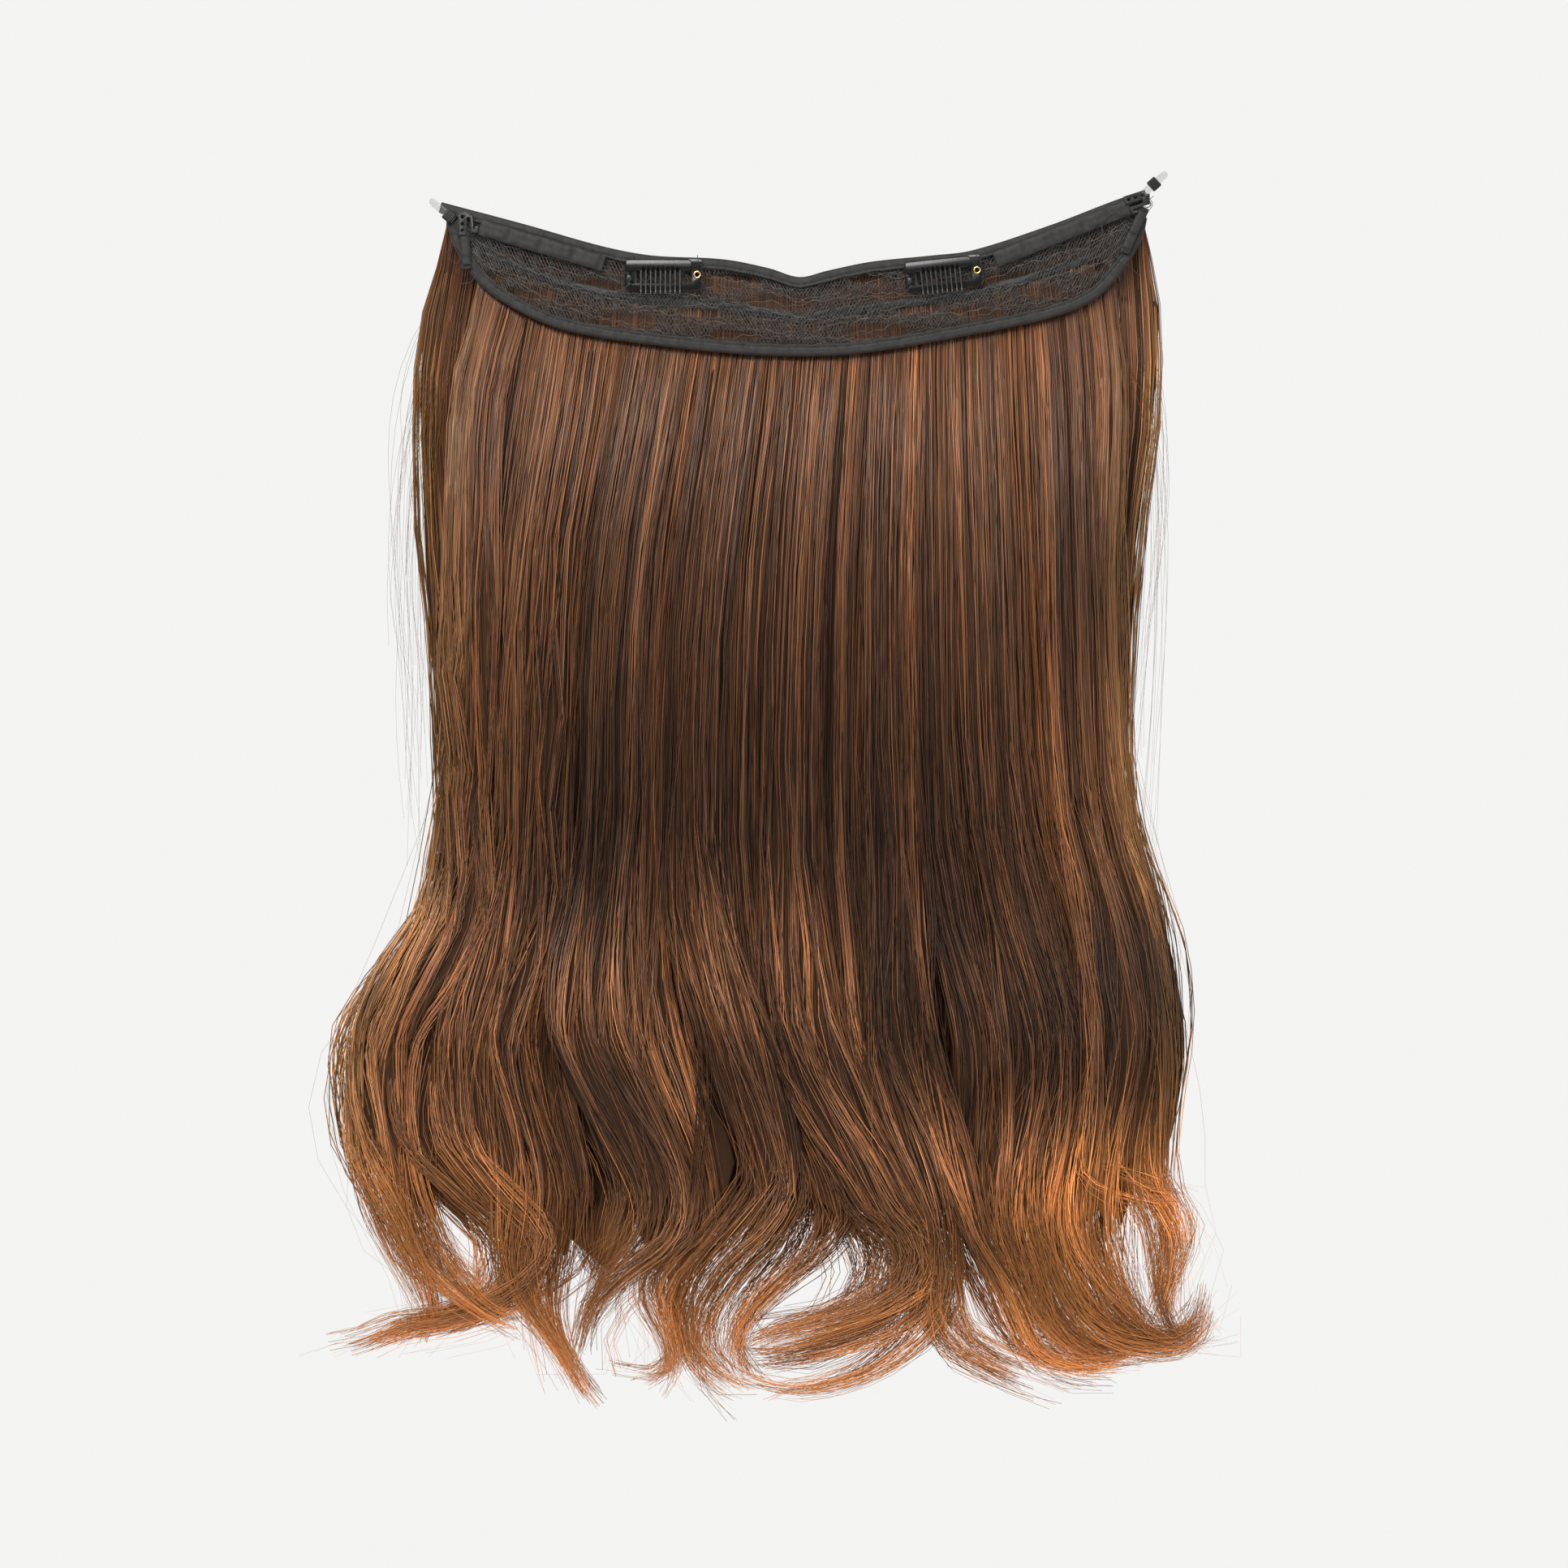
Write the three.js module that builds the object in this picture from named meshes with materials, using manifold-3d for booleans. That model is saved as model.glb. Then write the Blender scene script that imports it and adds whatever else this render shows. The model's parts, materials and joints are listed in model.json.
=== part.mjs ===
// A clip-in hair extension: a lace band with ribbon bindings, two snap clips and three rows of hair.
// Millimetres, +Z up. The scalp side of the band faces -Y, and the front of its lace is the plane y = 0.
// The origin is the middle of the band.
import * as THREE from 'three';
import { mergeVertices } from 'three/addons/utils/BufferGeometryUtils.js';
import Module from 'manifold-3d';

const wasm = await Module();
wasm.setup();

// Cloth: wall thickness, the air left between neighbouring pieces, and the widths of the ribbons
const CLOTH = 1.0;
const AIR = 0.3;
const TOP_RIBBON_WIDTH = 4.2;
const BOTTOM_RIBBON_WIDTH = 4.6;
const TAPE_WIDTH = 6.4;
const END_TAPE_WIDTH = 4.0;

// Depths on the scalp side: the back of the tapes and clips, and of the hooks in front of the tapes
const TAPE_BACK_Y = -2 * AIR - CLOTH;
const HOOK_BACK_Y = TAPE_BACK_Y - CLOTH - AIR;

// The band's two edges, from the left tip to the right tip
const TOP_EDGE = [
  { x: -141, z: 44.5 },
  { x: -109, z: 36 },
  { x: -77, z: 27 },
  { x: -58, z: 23.5 },
  { x: -30, z: 22 },
  { x: -12, z: 18.5 },
  { x: 0, z: 15 },
  { x: 11, z: 17.5 },
  { x: 28, z: 21 },
  { x: 52, z: 23.5 },
  { x: 68, z: 25.5 },
  { x: 99, z: 35.5 },
  { x: 131, z: 47.5 },
  { x: 138, z: 48 },
];
const BOTTOM_EDGE = [
  { x: -140, z: 40 },
  { x: -136, z: 26.5 },
  { x: -126, z: 12 },
  { x: -110, z: 1 },
  { x: -91, z: -6.5 },
  { x: -53, z: -12.5 },
  { x: -14, z: -16 },
  { x: 21, z: -15.5 },
  { x: 62, z: -9 },
  { x: 96, z: -2 },
  { x: 114, z: 4.5 },
  { x: 124, z: 13 },
  { x: 132, z: 24 },
  { x: 136, z: 33 },
  { x: 138, z: 43 },
];
const EDGE_SAMPLES = 400;
const TOP_STEPS = 26;
const BOTTOM_STEPS = 34;
const BOTTOM_RIBBON_ENDS = { left: -139, right: 137.5 };

// Tapes sewn on the scalp side, each from one end of its middle line to the other
const TAPES = [
  { name: 'left_pocket_tape', from: { x: -126, z: 34.5 }, to: { x: -77, z: 20 }, width: TAPE_WIDTH },
  { name: 'right_pocket_tape', from: { x: 77, z: 21.5 }, to: { x: 130, z: 42.5 }, width: TAPE_WIDTH },
  { name: 'left_end_tape', from: { x: -132.2, z: 34.5 }, to: { x: -131.2, z: 18 }, width: END_TAPE_WIDTH },
  { name: 'right_end_tape', from: { x: 136, z: 42 }, to: { x: 128, z: 24.5 }, width: END_TAPE_WIDTH },
];

// Snap clips: stamped steel, the comb in front of the frame
const STEEL = 0.6;
const CLIP = { length: 31, height: 12, corner: 2, endPlate: 4.7, topBar: 3.2, lowBar: 2.4 };
const CLIPS = [
  { side: 'left', x: -53.4, z: 21.8, tilt: 0 },
  { side: 'right', x: 56.3, z: 22.2, tilt: 6 },
];
const COMB = { left: -14.8, right: 10.8, bar: 4.6, teeth: 9, firstTooth: -9, pitch: 1.92, reach: 13.8 };
const TOOTH = { rootWidth: 1.1, tipWidth: 0.7, bead: 0.55, beadSides: 6, beadRows: 3 };
const SEW_HOLES = [
  { x: -12.4, z: -2.2 },
  { x: -13.4, z: -5.8 },
  { x: -12.8, z: -9.3 },
];
const SEW_HOLE_RADIUS = 0.7;
const HOLE_SIDES = 10;
const RIVET = { x: 13.1, z: -6.1, flange: 1.55, barrel: 1.15, bore: 0.85, rim: 0.4, sides: 12 };

// Hooks: a plate with three sewing holes and a J-shaped tongue
const HOOK_THICKNESS = 0.8;
const HOOK_HOLE_RADIUS = 0.75;
const HOOK_HOLE_HEIGHTS = [-2.8, 0, 2.8];
const HOOK_OUTLINE = [
  { x: -1.7, z: -4.5 },
  { x: 1.7, z: -4.5 },
  { x: 1.7, z: 2.6 },
  { x: 3, z: 2.6 },
  { x: 3, z: -3.4 },
  { x: 6, z: -3.4 },
  { x: 6, z: -0.8 },
  { x: 5, z: -0.8 },
  { x: 5, z: -2.2 },
  { x: 4.2, z: -2.2 },
  { x: 4.2, z: 4 },
  { x: 1.7, z: 4 },
  { x: 1.7, z: 4.5 },
  { x: -1.7, z: 4.5 },
];
const HOOKS = [
  { side: 'left', x: -132.7, z: 35.5, turn: 0 },
  { side: 'right', x: 132.2, z: 46, turn: 72 },
];

// Clear flat ends with a black sleeve on each. A row gives the strip's inner and free end, the y of its
// middle and how far along it the sleeve sits.
const CLEAR_STRIP = { width: 3, thickness: 0.8, endSteps: 6 };
const SLEEVE = { length: 3.8, wall: 0.5, corner: 0.4 };
const TIPS = [
  { side: 'left', inner: { x: -136, z: 37.1 }, outer: { x: -145.6, z: 45.1 }, y: -3.1, sleeveAt: 2.6 },
  { side: 'right', inner: { x: 135.4, z: 47.4 }, outer: { x: 144.6, z: 55.7 }, y: -4.4, sleeveAt: 5.6 },
];

// Hair: heights where every lock has a place in its row of the tables below
const ABOVE_Z = 60;
const BAND_Z = 0;
const SWELL_Z = -100;
const FALL_Z = -196;
const WAIST_Z = -234;
const BELLY_Z = -288;
const TUCK_Z = -340;
const HEM_Z = -384;
const LOWEST_Z = -435;
const RING_HEIGHTS = [
  -32, -65, SWELL_Z, -150, FALL_Z, WAIST_Z, -262, BELLY_Z, -314, TUCK_Z, -362, HEM_Z,
];

// How far forward the hair comes and how thick one row of locks is, by height
const HAIR_DEPTH = [
  { z: ABOVE_Z, front: 2.6, layer: 3.9 },
  { z: -17, front: 2.6, layer: 3.9 },
  { z: -65, front: -4, layer: 9.5 },
  { z: -110, front: -7, layer: 11 },
  { z: -165, front: -4.5, layer: 11 },
  { z: -220, front: -0.5, layer: 10.5 },
  { z: -288, front: -9, layer: 12 },
  { z: -345, front: -4, layer: 11 },
  { z: -430, front: -9, layer: 9 },
];
const LAYER_AIR = 0.6;
const LOCK_AIR = 0.2;

// How much of its width and depth a lock keeps, by height
const LOCK_TAPER = [
  { z: ABOVE_Z, width: 1, depth: 1 },
  { z: FALL_Z, width: 1, depth: 1 },
  { z: BELLY_Z, width: 1.12, depth: 1 },
  { z: TUCK_Z, width: 1.05, depth: 0.9 },
  { z: HEM_Z, width: 0.72, depth: 0.65 },
  { z: LOWEST_Z, width: 0.2, depth: 0.25 },
];
const ROOT_KEEP = { width: 0.64, depth: 1 };
const TIP_KEEP = { width: 0.2, depth: 0.25 };

// The head strips that the locks are fused to
const HEAD_STRIP = { inset: 1, height: 4, thickness: 3 };
const LOWER_ENDS = { left: -128, right: 126 };
const MIDDLE_ENDS = { left: -124, right: 118 };
const UPPER_ENDS = { left: -140, right: 137 };
const EDGE_ROOM = CLOTH + AIR + CLOTH + AIR;
const LACE_ROOM = CLOTH + AIR;

// Heights of the rings at the top of a lock, from the band's edges and from its middle line
const ROOT = {
  overBottom: 4,
  besideMiddle: 1.5,
  underTop: 1.5,
  lowUnderTop: 4.5,
  clearOfLower: 8,
  hang: -4,
};
const OVER_MIDDLE = { rise: 4, front: 5.2, back: 8.2 };

// The locks of each row, from left to right: x at each named height, then the tip's place and the width
const LOCK_COLUMNS = ['root', 'swell', 'fall', 'waist', 'belly', 'tuck', 'hem', 'tipX', 'tipZ', 'width'];
const lockTable = (rows) => rows.map((row) => (
  Object.fromEntries(LOCK_COLUMNS.map((column, i) => [column, row[i]]))
));
const LOWER_LOCKS = lockTable([
  [-118, -130, -132, -136, -165, -162, -141, -174, -404, 22],
  [-102, -116, -119, -123, -141, -141, -123, -154, -398, 22],
  [-87, -102, -106, -110, -124, -119, -107, -115, -400, 22],
  [-71, -87, -91, -94, -106, -95, -100, -80, -430, 22],
  [-55, -71, -76, -79, -83, -59, -69, -87, -421, 22],
  [-40, -55, -59, -61, -59, -37, -53, -76, -408, 22],
  [-24, -37, -41, -39, -26, -11, -44, -26, -427, 22],
  [-8, -19, -22, -21, -11, 10, 26, -6, -420, 22],
  [7, -1, -3, -2, 5, 29, 46, 11, -426, 22],
  [23, 17, 16, 18, 21, 44, 53, 83, -422, 22],
  [39, 36, 37, 39, 41, 59, 68, 105, -424, 22],
  [54, 55, 57, 63, 75, 76, 85, 115, -417, 22],
  [70, 73, 77, 85, 96, 87, 101, 131, -415, 22],
  [86, 90, 95, 105, 112, 102, 117, 157, -402, 22],
  [102, 106, 111, 121, 126, 119, 130, 146, -405, 22],
  [117, 118, 123, 133, 138, 134, 140, 138, -398, 18],
]);
const MIDDLE_LOCKS = lockTable([
  [-110, -121, -126, -130, -154, -153, -133, -162, -401, 36],
  [-83, -94, -98, -102, -114, -107, -91, -110, -407, 36],
  [-56, -64, -68, -70, -72, -50, -40, -62, -417, 36],
  [-29, -32, -34, -31, -19, -2, -26, -34, -420, 36],
  [-2, 2, 5, 6, 13, 18, -3, -18, -421, 36],
  [25, 30, 29, 30, 32, 50, 32, 8, -420, 36],
  [52, 62, 66, 74, 85, 80, 94, 123, -412, 36],
  [79, 94, 101, 112, 120, 110, 104, 98, -417, 36],
  [105, 114, 118, 128, 133, 126, 133, 150, -401, 30],
]);
const UPPER_LOCKS = lockTable([
  [-133, -141, -132, -135, -167, -164, -144, -184, -408, 18],
  [-112, -118, -119, -123, -142, -136, -120, -136, -401, 36],
  [-86, -91, -94, -98, -107, -94, -78, -94, -417, 36],
  [-58, -62, -66, -66, -62, -43, -59, -69, -417, 36],
  [-29, -33, -34, -30, -21, -8, -27, -43, -423, 36],
  [0, 0, 0, 0, 5, 21, 8, -11, -425, 36],
  [29, 30, 32, 32, 34, 46, 30, 24, -423, 36],
  [58, 59, 62, 69, 78, 75, 75, 94, -420, 36],
  [84, 85, 91, 101, 107, 98, 104, 117, -417, 36],
  [109, 107, 110, 122, 126, 117, 123, 136, -410, 30],
  [130, 126, 123, 134, 134, 132, 133, 160, -401, 18],
]);

// Outlines of one lock's section, across from -1 to 1 and deep from -1 (front) to 1 (back)
const SIX_SIDES = [[-1, 0], [-0.5, -1], [0.5, -1], [1, 0], [0.5, 1], [-0.5, 1]];
const FOUR_SIDES = [[-1, 0], [0, -1], [1, 0], [0, 1]];

const FINISHES = {
  lace: { color: 0x2a2a2c, roughness: 0.85, metalness: 0 },
  ribbon: { color: 0x2b2c2e, roughness: 0.6, metalness: 0 },
  paint: { color: 0x0b0b0c, roughness: 0.25, metalness: 0.2 },
  brass: { color: 0xc79a3e, roughness: 0.3, metalness: 1 },
  clear: { color: 0xe8e8e6, roughness: 0.15, metalness: 0 },
  hair: { color: 0x5a3620, roughness: 0.45, metalness: 0 },
};

// A smooth value at a height, through rows that fall in z: a cubic between neighbouring rows, whose slope
// at each row is that of the line between the rows above and below it
function smoothValue(rows, column, z) {
  const last = rows.length - 1;
  if (z >= rows[0].z) return rows[0][column];
  if (z <= rows[last].z) return rows[last][column];
  const upper = rows.findIndex((row, i) => i < last && z <= row.z && z >= rows[i + 1].z);
  const slope = (i) => {
    const above = rows[Math.max(i - 1, 0)];
    const below = rows[Math.min(i + 1, last)];
    return (below[column] - above[column]) / (below.z - above.z);
  };
  const a = rows[upper];
  const b = rows[upper + 1];
  const span = b.z - a.z;
  const t = (z - a.z) / span;
  const keepA = 2 * t ** 3 - 3 * t ** 2 + 1;
  const leanA = t ** 3 - 2 * t ** 2 + t;
  const leanB = t ** 3 - t ** 2;
  const between = keepA * a[column] + (1 - keepA) * b[column];
  return between + span * (leanA * slope(upper) + leanB * slope(upper + 1));
}

// One edge of the band: a smooth curve in the plane of the lace
class BandEdge {
  constructor(rows, inwardSign) {
    const points = rows.map(({ x, z }) => new THREE.Vector3(x, 0, z));
    this.curve = new THREE.CatmullRomCurve3(points, false, 'centripetal');
    this.samples = this.curve.getSpacedPoints(EDGE_SAMPLES);
    this.inwardSign = inwardSign;
  }

  // Height of the edge at x, held at its end values outside them
  height(x) {
    const after = this.samples.findIndex((point) => point.x >= x);
    if (after < 0) return this.samples[this.samples.length - 1].z;
    if (after === 0) return this.samples[0].z;
    const a = this.samples[after - 1];
    const b = this.samples[after];
    return THREE.MathUtils.mapLinear(x, a.x, b.x, a.z, b.z);
  }

  // The edge's point at x, with the direction that leads into the lace
  placeAt(x) {
    const reach = 1;
    const rise = this.height(x + reach) - this.height(x - reach);
    const tangent = new THREE.Vector3(2 * reach, 0, rise).normalize();
    const inward = new THREE.Vector3(-tangent.z, 0, tangent.x).multiplyScalar(this.inwardSign);
    return { point: new THREE.Vector3(x, 0, this.height(x)), inward };
  }

  // Evenly spaced points between two values of x, each with the direction that leads into the lace
  stretch(fromX, toX, steps) {
    const within = this.samples.filter(({ x }) => x >= fromX && x <= toX);
    const stretchCurve = new THREE.CatmullRomCurve3(within);
    const places = Array.from({ length: steps + 1 }, (unused, i) => i / steps);
    return places.map((place) => {
      const tangent = stretchCurve.getTangentAt(place);
      const inward = new THREE.Vector3(-tangent.z, 0, tangent.x).multiplyScalar(this.inwardSign);
      return { point: stretchCurve.getPointAt(place), inward };
    });
  }
}

const topEdge = new BandEdge(TOP_EDGE, -1);
const bottomEdge = new BandEdge(BOTTOM_EDGE, 1);
const bottomHeight = (x) => bottomEdge.height(THREE.MathUtils.clamp(x, LOWER_ENDS.left, LOWER_ENDS.right));
const middleHeight = (x) => (topEdge.height(x) + bottomHeight(x)) / 2;

// A closed solid through rings that all have the profile's number of points, in counter-clockwise order
function loft(rings, profile) {
  const size = profile.length;
  const corners = profile.map(([across, deep]) => new THREE.Vector2(across, deep));
  const index = [];
  for (let ring = 0; ring + 1 < rings.length; ring += 1) {
    for (let side = 0; side < size; side += 1) {
      const here = ring * size + side;
      const next = ring * size + ((side + 1) % size);
      index.push(here, next, here + size, next, next + size, here + size);
    }
  }
  const last = (rings.length - 1) * size;
  for (const [a, b, c] of THREE.ShapeUtils.triangulateShape(corners, [])) {
    index.push(a, c, b, last + a, last + b, last + c);
  }
  const geometry = new THREE.BufferGeometry().setFromPoints(rings.flat());
  geometry.setIndex(index);
  if (signedVolume(geometry) < 0) geometry.setIndex(index.reverse());
  return geometry;
}

// Six times less than the sum of the triple products of a mesh's triangles: positive if its faces point out
function signedVolume(geometry) {
  const { position } = geometry.attributes;
  const corner = (i) => new THREE.Vector3().fromBufferAttribute(position, geometry.index.array[i]);
  let volume = 0;
  for (let i = 0; i < geometry.index.count; i += 3) {
    volume += corner(i).dot(corner(i + 1).cross(corner(i + 2))) / 6;
  }
  return volume;
}

// A section of [distance into the lace, y] points carried along a stretch of an edge
function carryAlong(stretch, profile) {
  const rings = stretch.map(({ point, inward }) => profile.map(([into, y]) => (
    point.clone().addScaledVector(inward, into).setY(y)
  )));
  return loft(rings, profile);
}

// A flat plate from an outline in x and z, with its back at the given y
function plate(outline, thickness, backY) {
  const geometry = new THREE.ExtrudeGeometry(outline, { depth: thickness, bevelEnabled: false });
  return geometry.rotateX(Math.PI / 2).translate(0, backY, 0);
}

const outlineOf = (corners) => new THREE.Shape(corners.map(({ x, z }) => new THREE.Vector2(x, z)));

// A round hole, without its first point twice
function roundHole(x, z, radius) {
  const step = 360 / HOLE_SIDES;
  return outlineOf(arcPoints({ x, z }, radius, 0, 360 - step, HOLE_SIDES - 1));
}

const MERGE_DISTANCE = 1e-4;

// Joins closed geometries into one solid
function fuse(geometries) {
  const solids = geometries.map((geometry) => {
    const bare = new THREE.BufferGeometry().setAttribute('position', geometry.attributes.position);
    bare.setIndex(geometry.index);
    const merged = mergeVertices(bare, MERGE_DISTANCE);
    const vertProperties = new Float32Array(merged.attributes.position.array);
    const triVerts = new Uint32Array(merged.index.array);
    return new wasm.Manifold(new wasm.Mesh({ numProp: 3, vertProperties, triVerts }));
  });
  const joined = solids.reduce((sum, solid) => sum.add(solid)).getMesh();
  const geometry = new THREE.BufferGeometry();
  geometry.setAttribute('position', new THREE.BufferAttribute(joined.vertProperties, 3));
  geometry.setIndex(new THREE.BufferAttribute(joined.triVerts, 1));
  return geometry;
}

function piece(name, geometry, finish) {
  const mesh = new THREE.Mesh(geometry, new THREE.MeshStandardMaterial(FINISHES[finish]));
  mesh.name = name;
  return mesh;
}

// The lace crescent, cut back so that each binding folds round its edge with a little air
function laceBand() {
  const cutBack = CLOTH + AIR;
  const edgeLine = (edge, steps) => edge.stretch(-Infinity, Infinity, steps)
    .map(({ point, inward }) => point.addScaledVector(inward, cutBack));
  const corners = [...edgeLine(topEdge, TOP_STEPS), ...edgeLine(bottomEdge, BOTTOM_STEPS).reverse()];
  return piece('lace_band', plate(outlineOf(corners), CLOTH, CLOTH), 'lace');
}

// A ribbon folded round an edge: a U with its open side towards the lace
function binding(name, stretch, width) {
  const front = -AIR - CLOTH;
  const back = CLOTH + AIR + CLOTH;
  const profile = [
    [0, front],
    [width, front],
    [width, -AIR],
    [CLOTH, -AIR],
    [CLOTH, CLOTH + AIR],
    [width, CLOTH + AIR],
    [width, back],
    [0, back],
  ];
  return piece(name, carryAlong(stretch, profile), 'ribbon');
}

function tape({ name, from, to, width }) {
  const along = new THREE.Vector2(to.x - from.x, to.z - from.z);
  const across = new THREE.Vector2(-along.y, along.x).setLength(width / 2);
  const corners = [
    { x: from.x - across.x, z: from.z - across.y },
    { x: to.x - across.x, z: to.z - across.y },
    { x: to.x + across.x, z: to.z + across.y },
    { x: from.x + across.x, z: from.z + across.y },
  ];
  return piece(name, plate(outlineOf(corners), CLOTH, TAPE_BACK_Y), 'ribbon');
}

// Points on an arc round a centre, both ends included
function arcPoints(centre, radius, fromDegrees, toDegrees, steps) {
  return Array.from({ length: steps + 1 }, (unused, i) => {
    const angle = THREE.MathUtils.degToRad(fromDegrees + ((toDegrees - fromDegrees) * i) / steps);
    return { x: centre.x + radius * Math.cos(angle), z: centre.z + radius * Math.sin(angle) };
  });
}

const CORNER_STEPS = 3;

function roundedBox(left, right, low, high, corner) {
  return outlineOf([
    ...arcPoints({ x: right - corner, z: low + corner }, corner, -90, 0, CORNER_STEPS),
    ...arcPoints({ x: right - corner, z: high - corner }, corner, 0, 90, CORNER_STEPS),
    ...arcPoints({ x: left + corner, z: high - corner }, corner, 90, 180, CORNER_STEPS),
    ...arcPoints({ x: left + corner, z: low + corner }, corner, 180, 270, CORNER_STEPS),
  ]);
}

// One stamped clip frame: two end plates joined by a top and a low bar round a window
function clipFrame() {
  const half = CLIP.length / 2;
  const shape = roundedBox(-half, half, -CLIP.height, 0, CLIP.corner);
  const window = [
    { x: -half + CLIP.endPlate, z: -CLIP.height + CLIP.lowBar },
    { x: half - CLIP.endPlate, z: -CLIP.height + CLIP.lowBar },
    { x: half - CLIP.endPlate, z: -CLIP.topBar },
    { x: -half + CLIP.endPlate, z: -CLIP.topBar },
  ];
  shape.holes.push(outlineOf(window));
  SEW_HOLES.forEach(({ x, z }) => shape.holes.push(roundHole(x, z, SEW_HOLE_RADIUS)));
  shape.holes.push(roundHole(RIVET.x, RIVET.z, RIVET.barrel + AIR));
  return plate(shape, STEEL, 0);
}

// One comb: a bar with tapering teeth cut from it, and a bead on each tooth's tip
function clipComb() {
  const places = Array.from({ length: COMB.teeth }, (unused, i) => COMB.firstTooth + i * COMB.pitch);
  const corners = [{ x: COMB.right, z: 0 }, { x: COMB.left, z: 0 }, { x: COMB.left, z: -COMB.bar }];
  places.forEach((x) => {
    corners.push({ x: x - TOOTH.rootWidth / 2, z: -COMB.bar });
    corners.push({ x: x - TOOTH.tipWidth / 2, z: -COMB.reach });
    corners.push({ x: x + TOOTH.tipWidth / 2, z: -COMB.reach });
    corners.push({ x: x + TOOTH.rootWidth / 2, z: -COMB.bar });
  });
  corners.push({ x: COMB.right, z: -COMB.bar });
  const beads = places.map((x) => {
    const bead = new THREE.SphereGeometry(TOOTH.bead, TOOTH.beadSides, TOOTH.beadRows);
    return bead.translate(x, -STEEL / 2, -COMB.reach);
  });
  return fuse([plate(outlineOf(corners), STEEL, 0), ...beads]);
}

// One eyelet: a barrel through the frame with a flange on its front
function clipRivet() {
  const front = STEEL + AIR + RIVET.rim;
  const profile = [
    [RIVET.bore, 0],
    [RIVET.barrel, 0],
    [RIVET.barrel, STEEL + AIR],
    [RIVET.flange, STEEL + AIR],
    [RIVET.flange, front],
    [RIVET.bore, front],
    [RIVET.bore, 0],
  ];
  const section = profile.map(([radius, height]) => new THREE.Vector2(radius, height));
  const ring = new THREE.LatheGeometry(section, RIVET.sides);
  return ring.rotateX(Math.PI).translate(RIVET.x, 0, RIVET.z);
}

function snapClip({ side, x, z, tilt }) {
  const clip = new THREE.Group();
  clip.position.set(x, TAPE_BACK_Y, z);
  clip.rotation.y = -THREE.MathUtils.degToRad(tilt);
  const comb = piece(`${side}_clip_comb`, clipComb(), 'paint');
  comb.position.y = -STEEL - AIR;
  clip.add(piece(`${side}_clip_frame`, clipFrame(), 'paint'));
  clip.add(comb);
  clip.add(piece(`${side}_clip_rivet`, clipRivet(), 'brass'));
  return clip;
}

function hook({ side, x, z, turn }) {
  const shape = outlineOf(HOOK_OUTLINE);
  HOOK_HOLE_HEIGHTS.forEach((height) => shape.holes.push(roundHole(0, height, HOOK_HOLE_RADIUS)));
  const mesh = piece(`${side}_hook`, plate(shape, HOOK_THICKNESS, 0), 'paint');
  mesh.position.set(x, HOOK_BACK_Y, z);
  mesh.rotation.y = THREE.MathUtils.degToRad(turn);
  return mesh;
}

// A clear strip with a round free end, running through a flat black sleeve
function clearTip({ side, inner, outer, y, sleeveAt }) {
  const length = Math.hypot(outer.x - inner.x, outer.z - inner.z);
  const half = CLEAR_STRIP.width / 2;
  const stripOutline = outlineOf([
    { x: 0, z: -half },
    ...arcPoints({ x: length - half, z: 0 }, half, -90, 90, CLEAR_STRIP.endSteps),
    { x: 0, z: half },
  ]);
  const boreWide = half + AIR;
  const boreDeep = CLEAR_STRIP.thickness / 2 + AIR;
  const wide = boreWide + SLEEVE.wall;
  const deep = boreDeep + SLEEVE.wall;
  const sleeve = roundedBox(-wide, wide, -deep, deep, SLEEVE.corner);
  sleeve.holes.push(outlineOf([
    { x: -boreWide, z: -boreDeep },
    { x: boreWide, z: -boreDeep },
    { x: boreWide, z: boreDeep },
    { x: -boreWide, z: boreDeep },
  ]));
  const sleeveShape = new THREE.ExtrudeGeometry(sleeve, { depth: SLEEVE.length, bevelEnabled: false });
  sleeveShape.rotateY(Math.PI / 2).rotateX(Math.PI).translate(sleeveAt - SLEEVE.length / 2, 0, 0);
  const tip = new THREE.Group();
  tip.position.set(inner.x, y, inner.z);
  tip.rotation.y = -Math.atan2(outer.z - inner.z, outer.x - inner.x);
  const strip = plate(stripOutline, CLEAR_STRIP.thickness, CLEAR_STRIP.thickness / 2);
  tip.add(piece(`${side}_clear_loop`, strip, 'clear'));
  tip.add(piece(`${side}_crimp`, sleeveShape, 'paint'));
  return tip;
}

// Rings at the top of a lock, down to just below the band: how high each lies at x, its front and its back
function rootRings(layer) {
  const behind = (room) => ({
    front: room + AIR,
    back: room + HEAD_STRIP.thickness - AIR,
    keep: ROOT_KEEP,
  });
  const fromBottom = (rise) => ({ height: (x) => bottomHeight(x) + rise });
  const fromMiddle = (rise) => ({ height: (x) => middleHeight(x) + rise });
  const fromTop = (rise) => ({ height: (x) => topEdge.height(x) + rise });
  const hang = fromBottom(ROOT.hang);
  if (layer === 0) return [{ ...fromBottom(ROOT.overBottom), ...behind(EDGE_ROOM) }, hang];
  if (layer === 1) {
    return [
      { ...fromMiddle(ROOT.besideMiddle), ...behind(LACE_ROOM) },
      { ...fromMiddle(-ROOT.besideMiddle), ...behind(LACE_ROOM) },
      fromBottom(ROOT.clearOfLower),
      hang,
    ];
  }
  return [
    { ...fromTop(-ROOT.underTop), ...behind(EDGE_ROOM) },
    { ...fromTop(-ROOT.lowUnderTop), ...behind(EDGE_ROOM) },
    { ...fromMiddle(OVER_MIDDLE.rise), front: OVER_MIDDLE.front, back: OVER_MIDDLE.back },
    fromBottom(ROOT.clearOfLower),
    hang,
  ];
}

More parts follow.
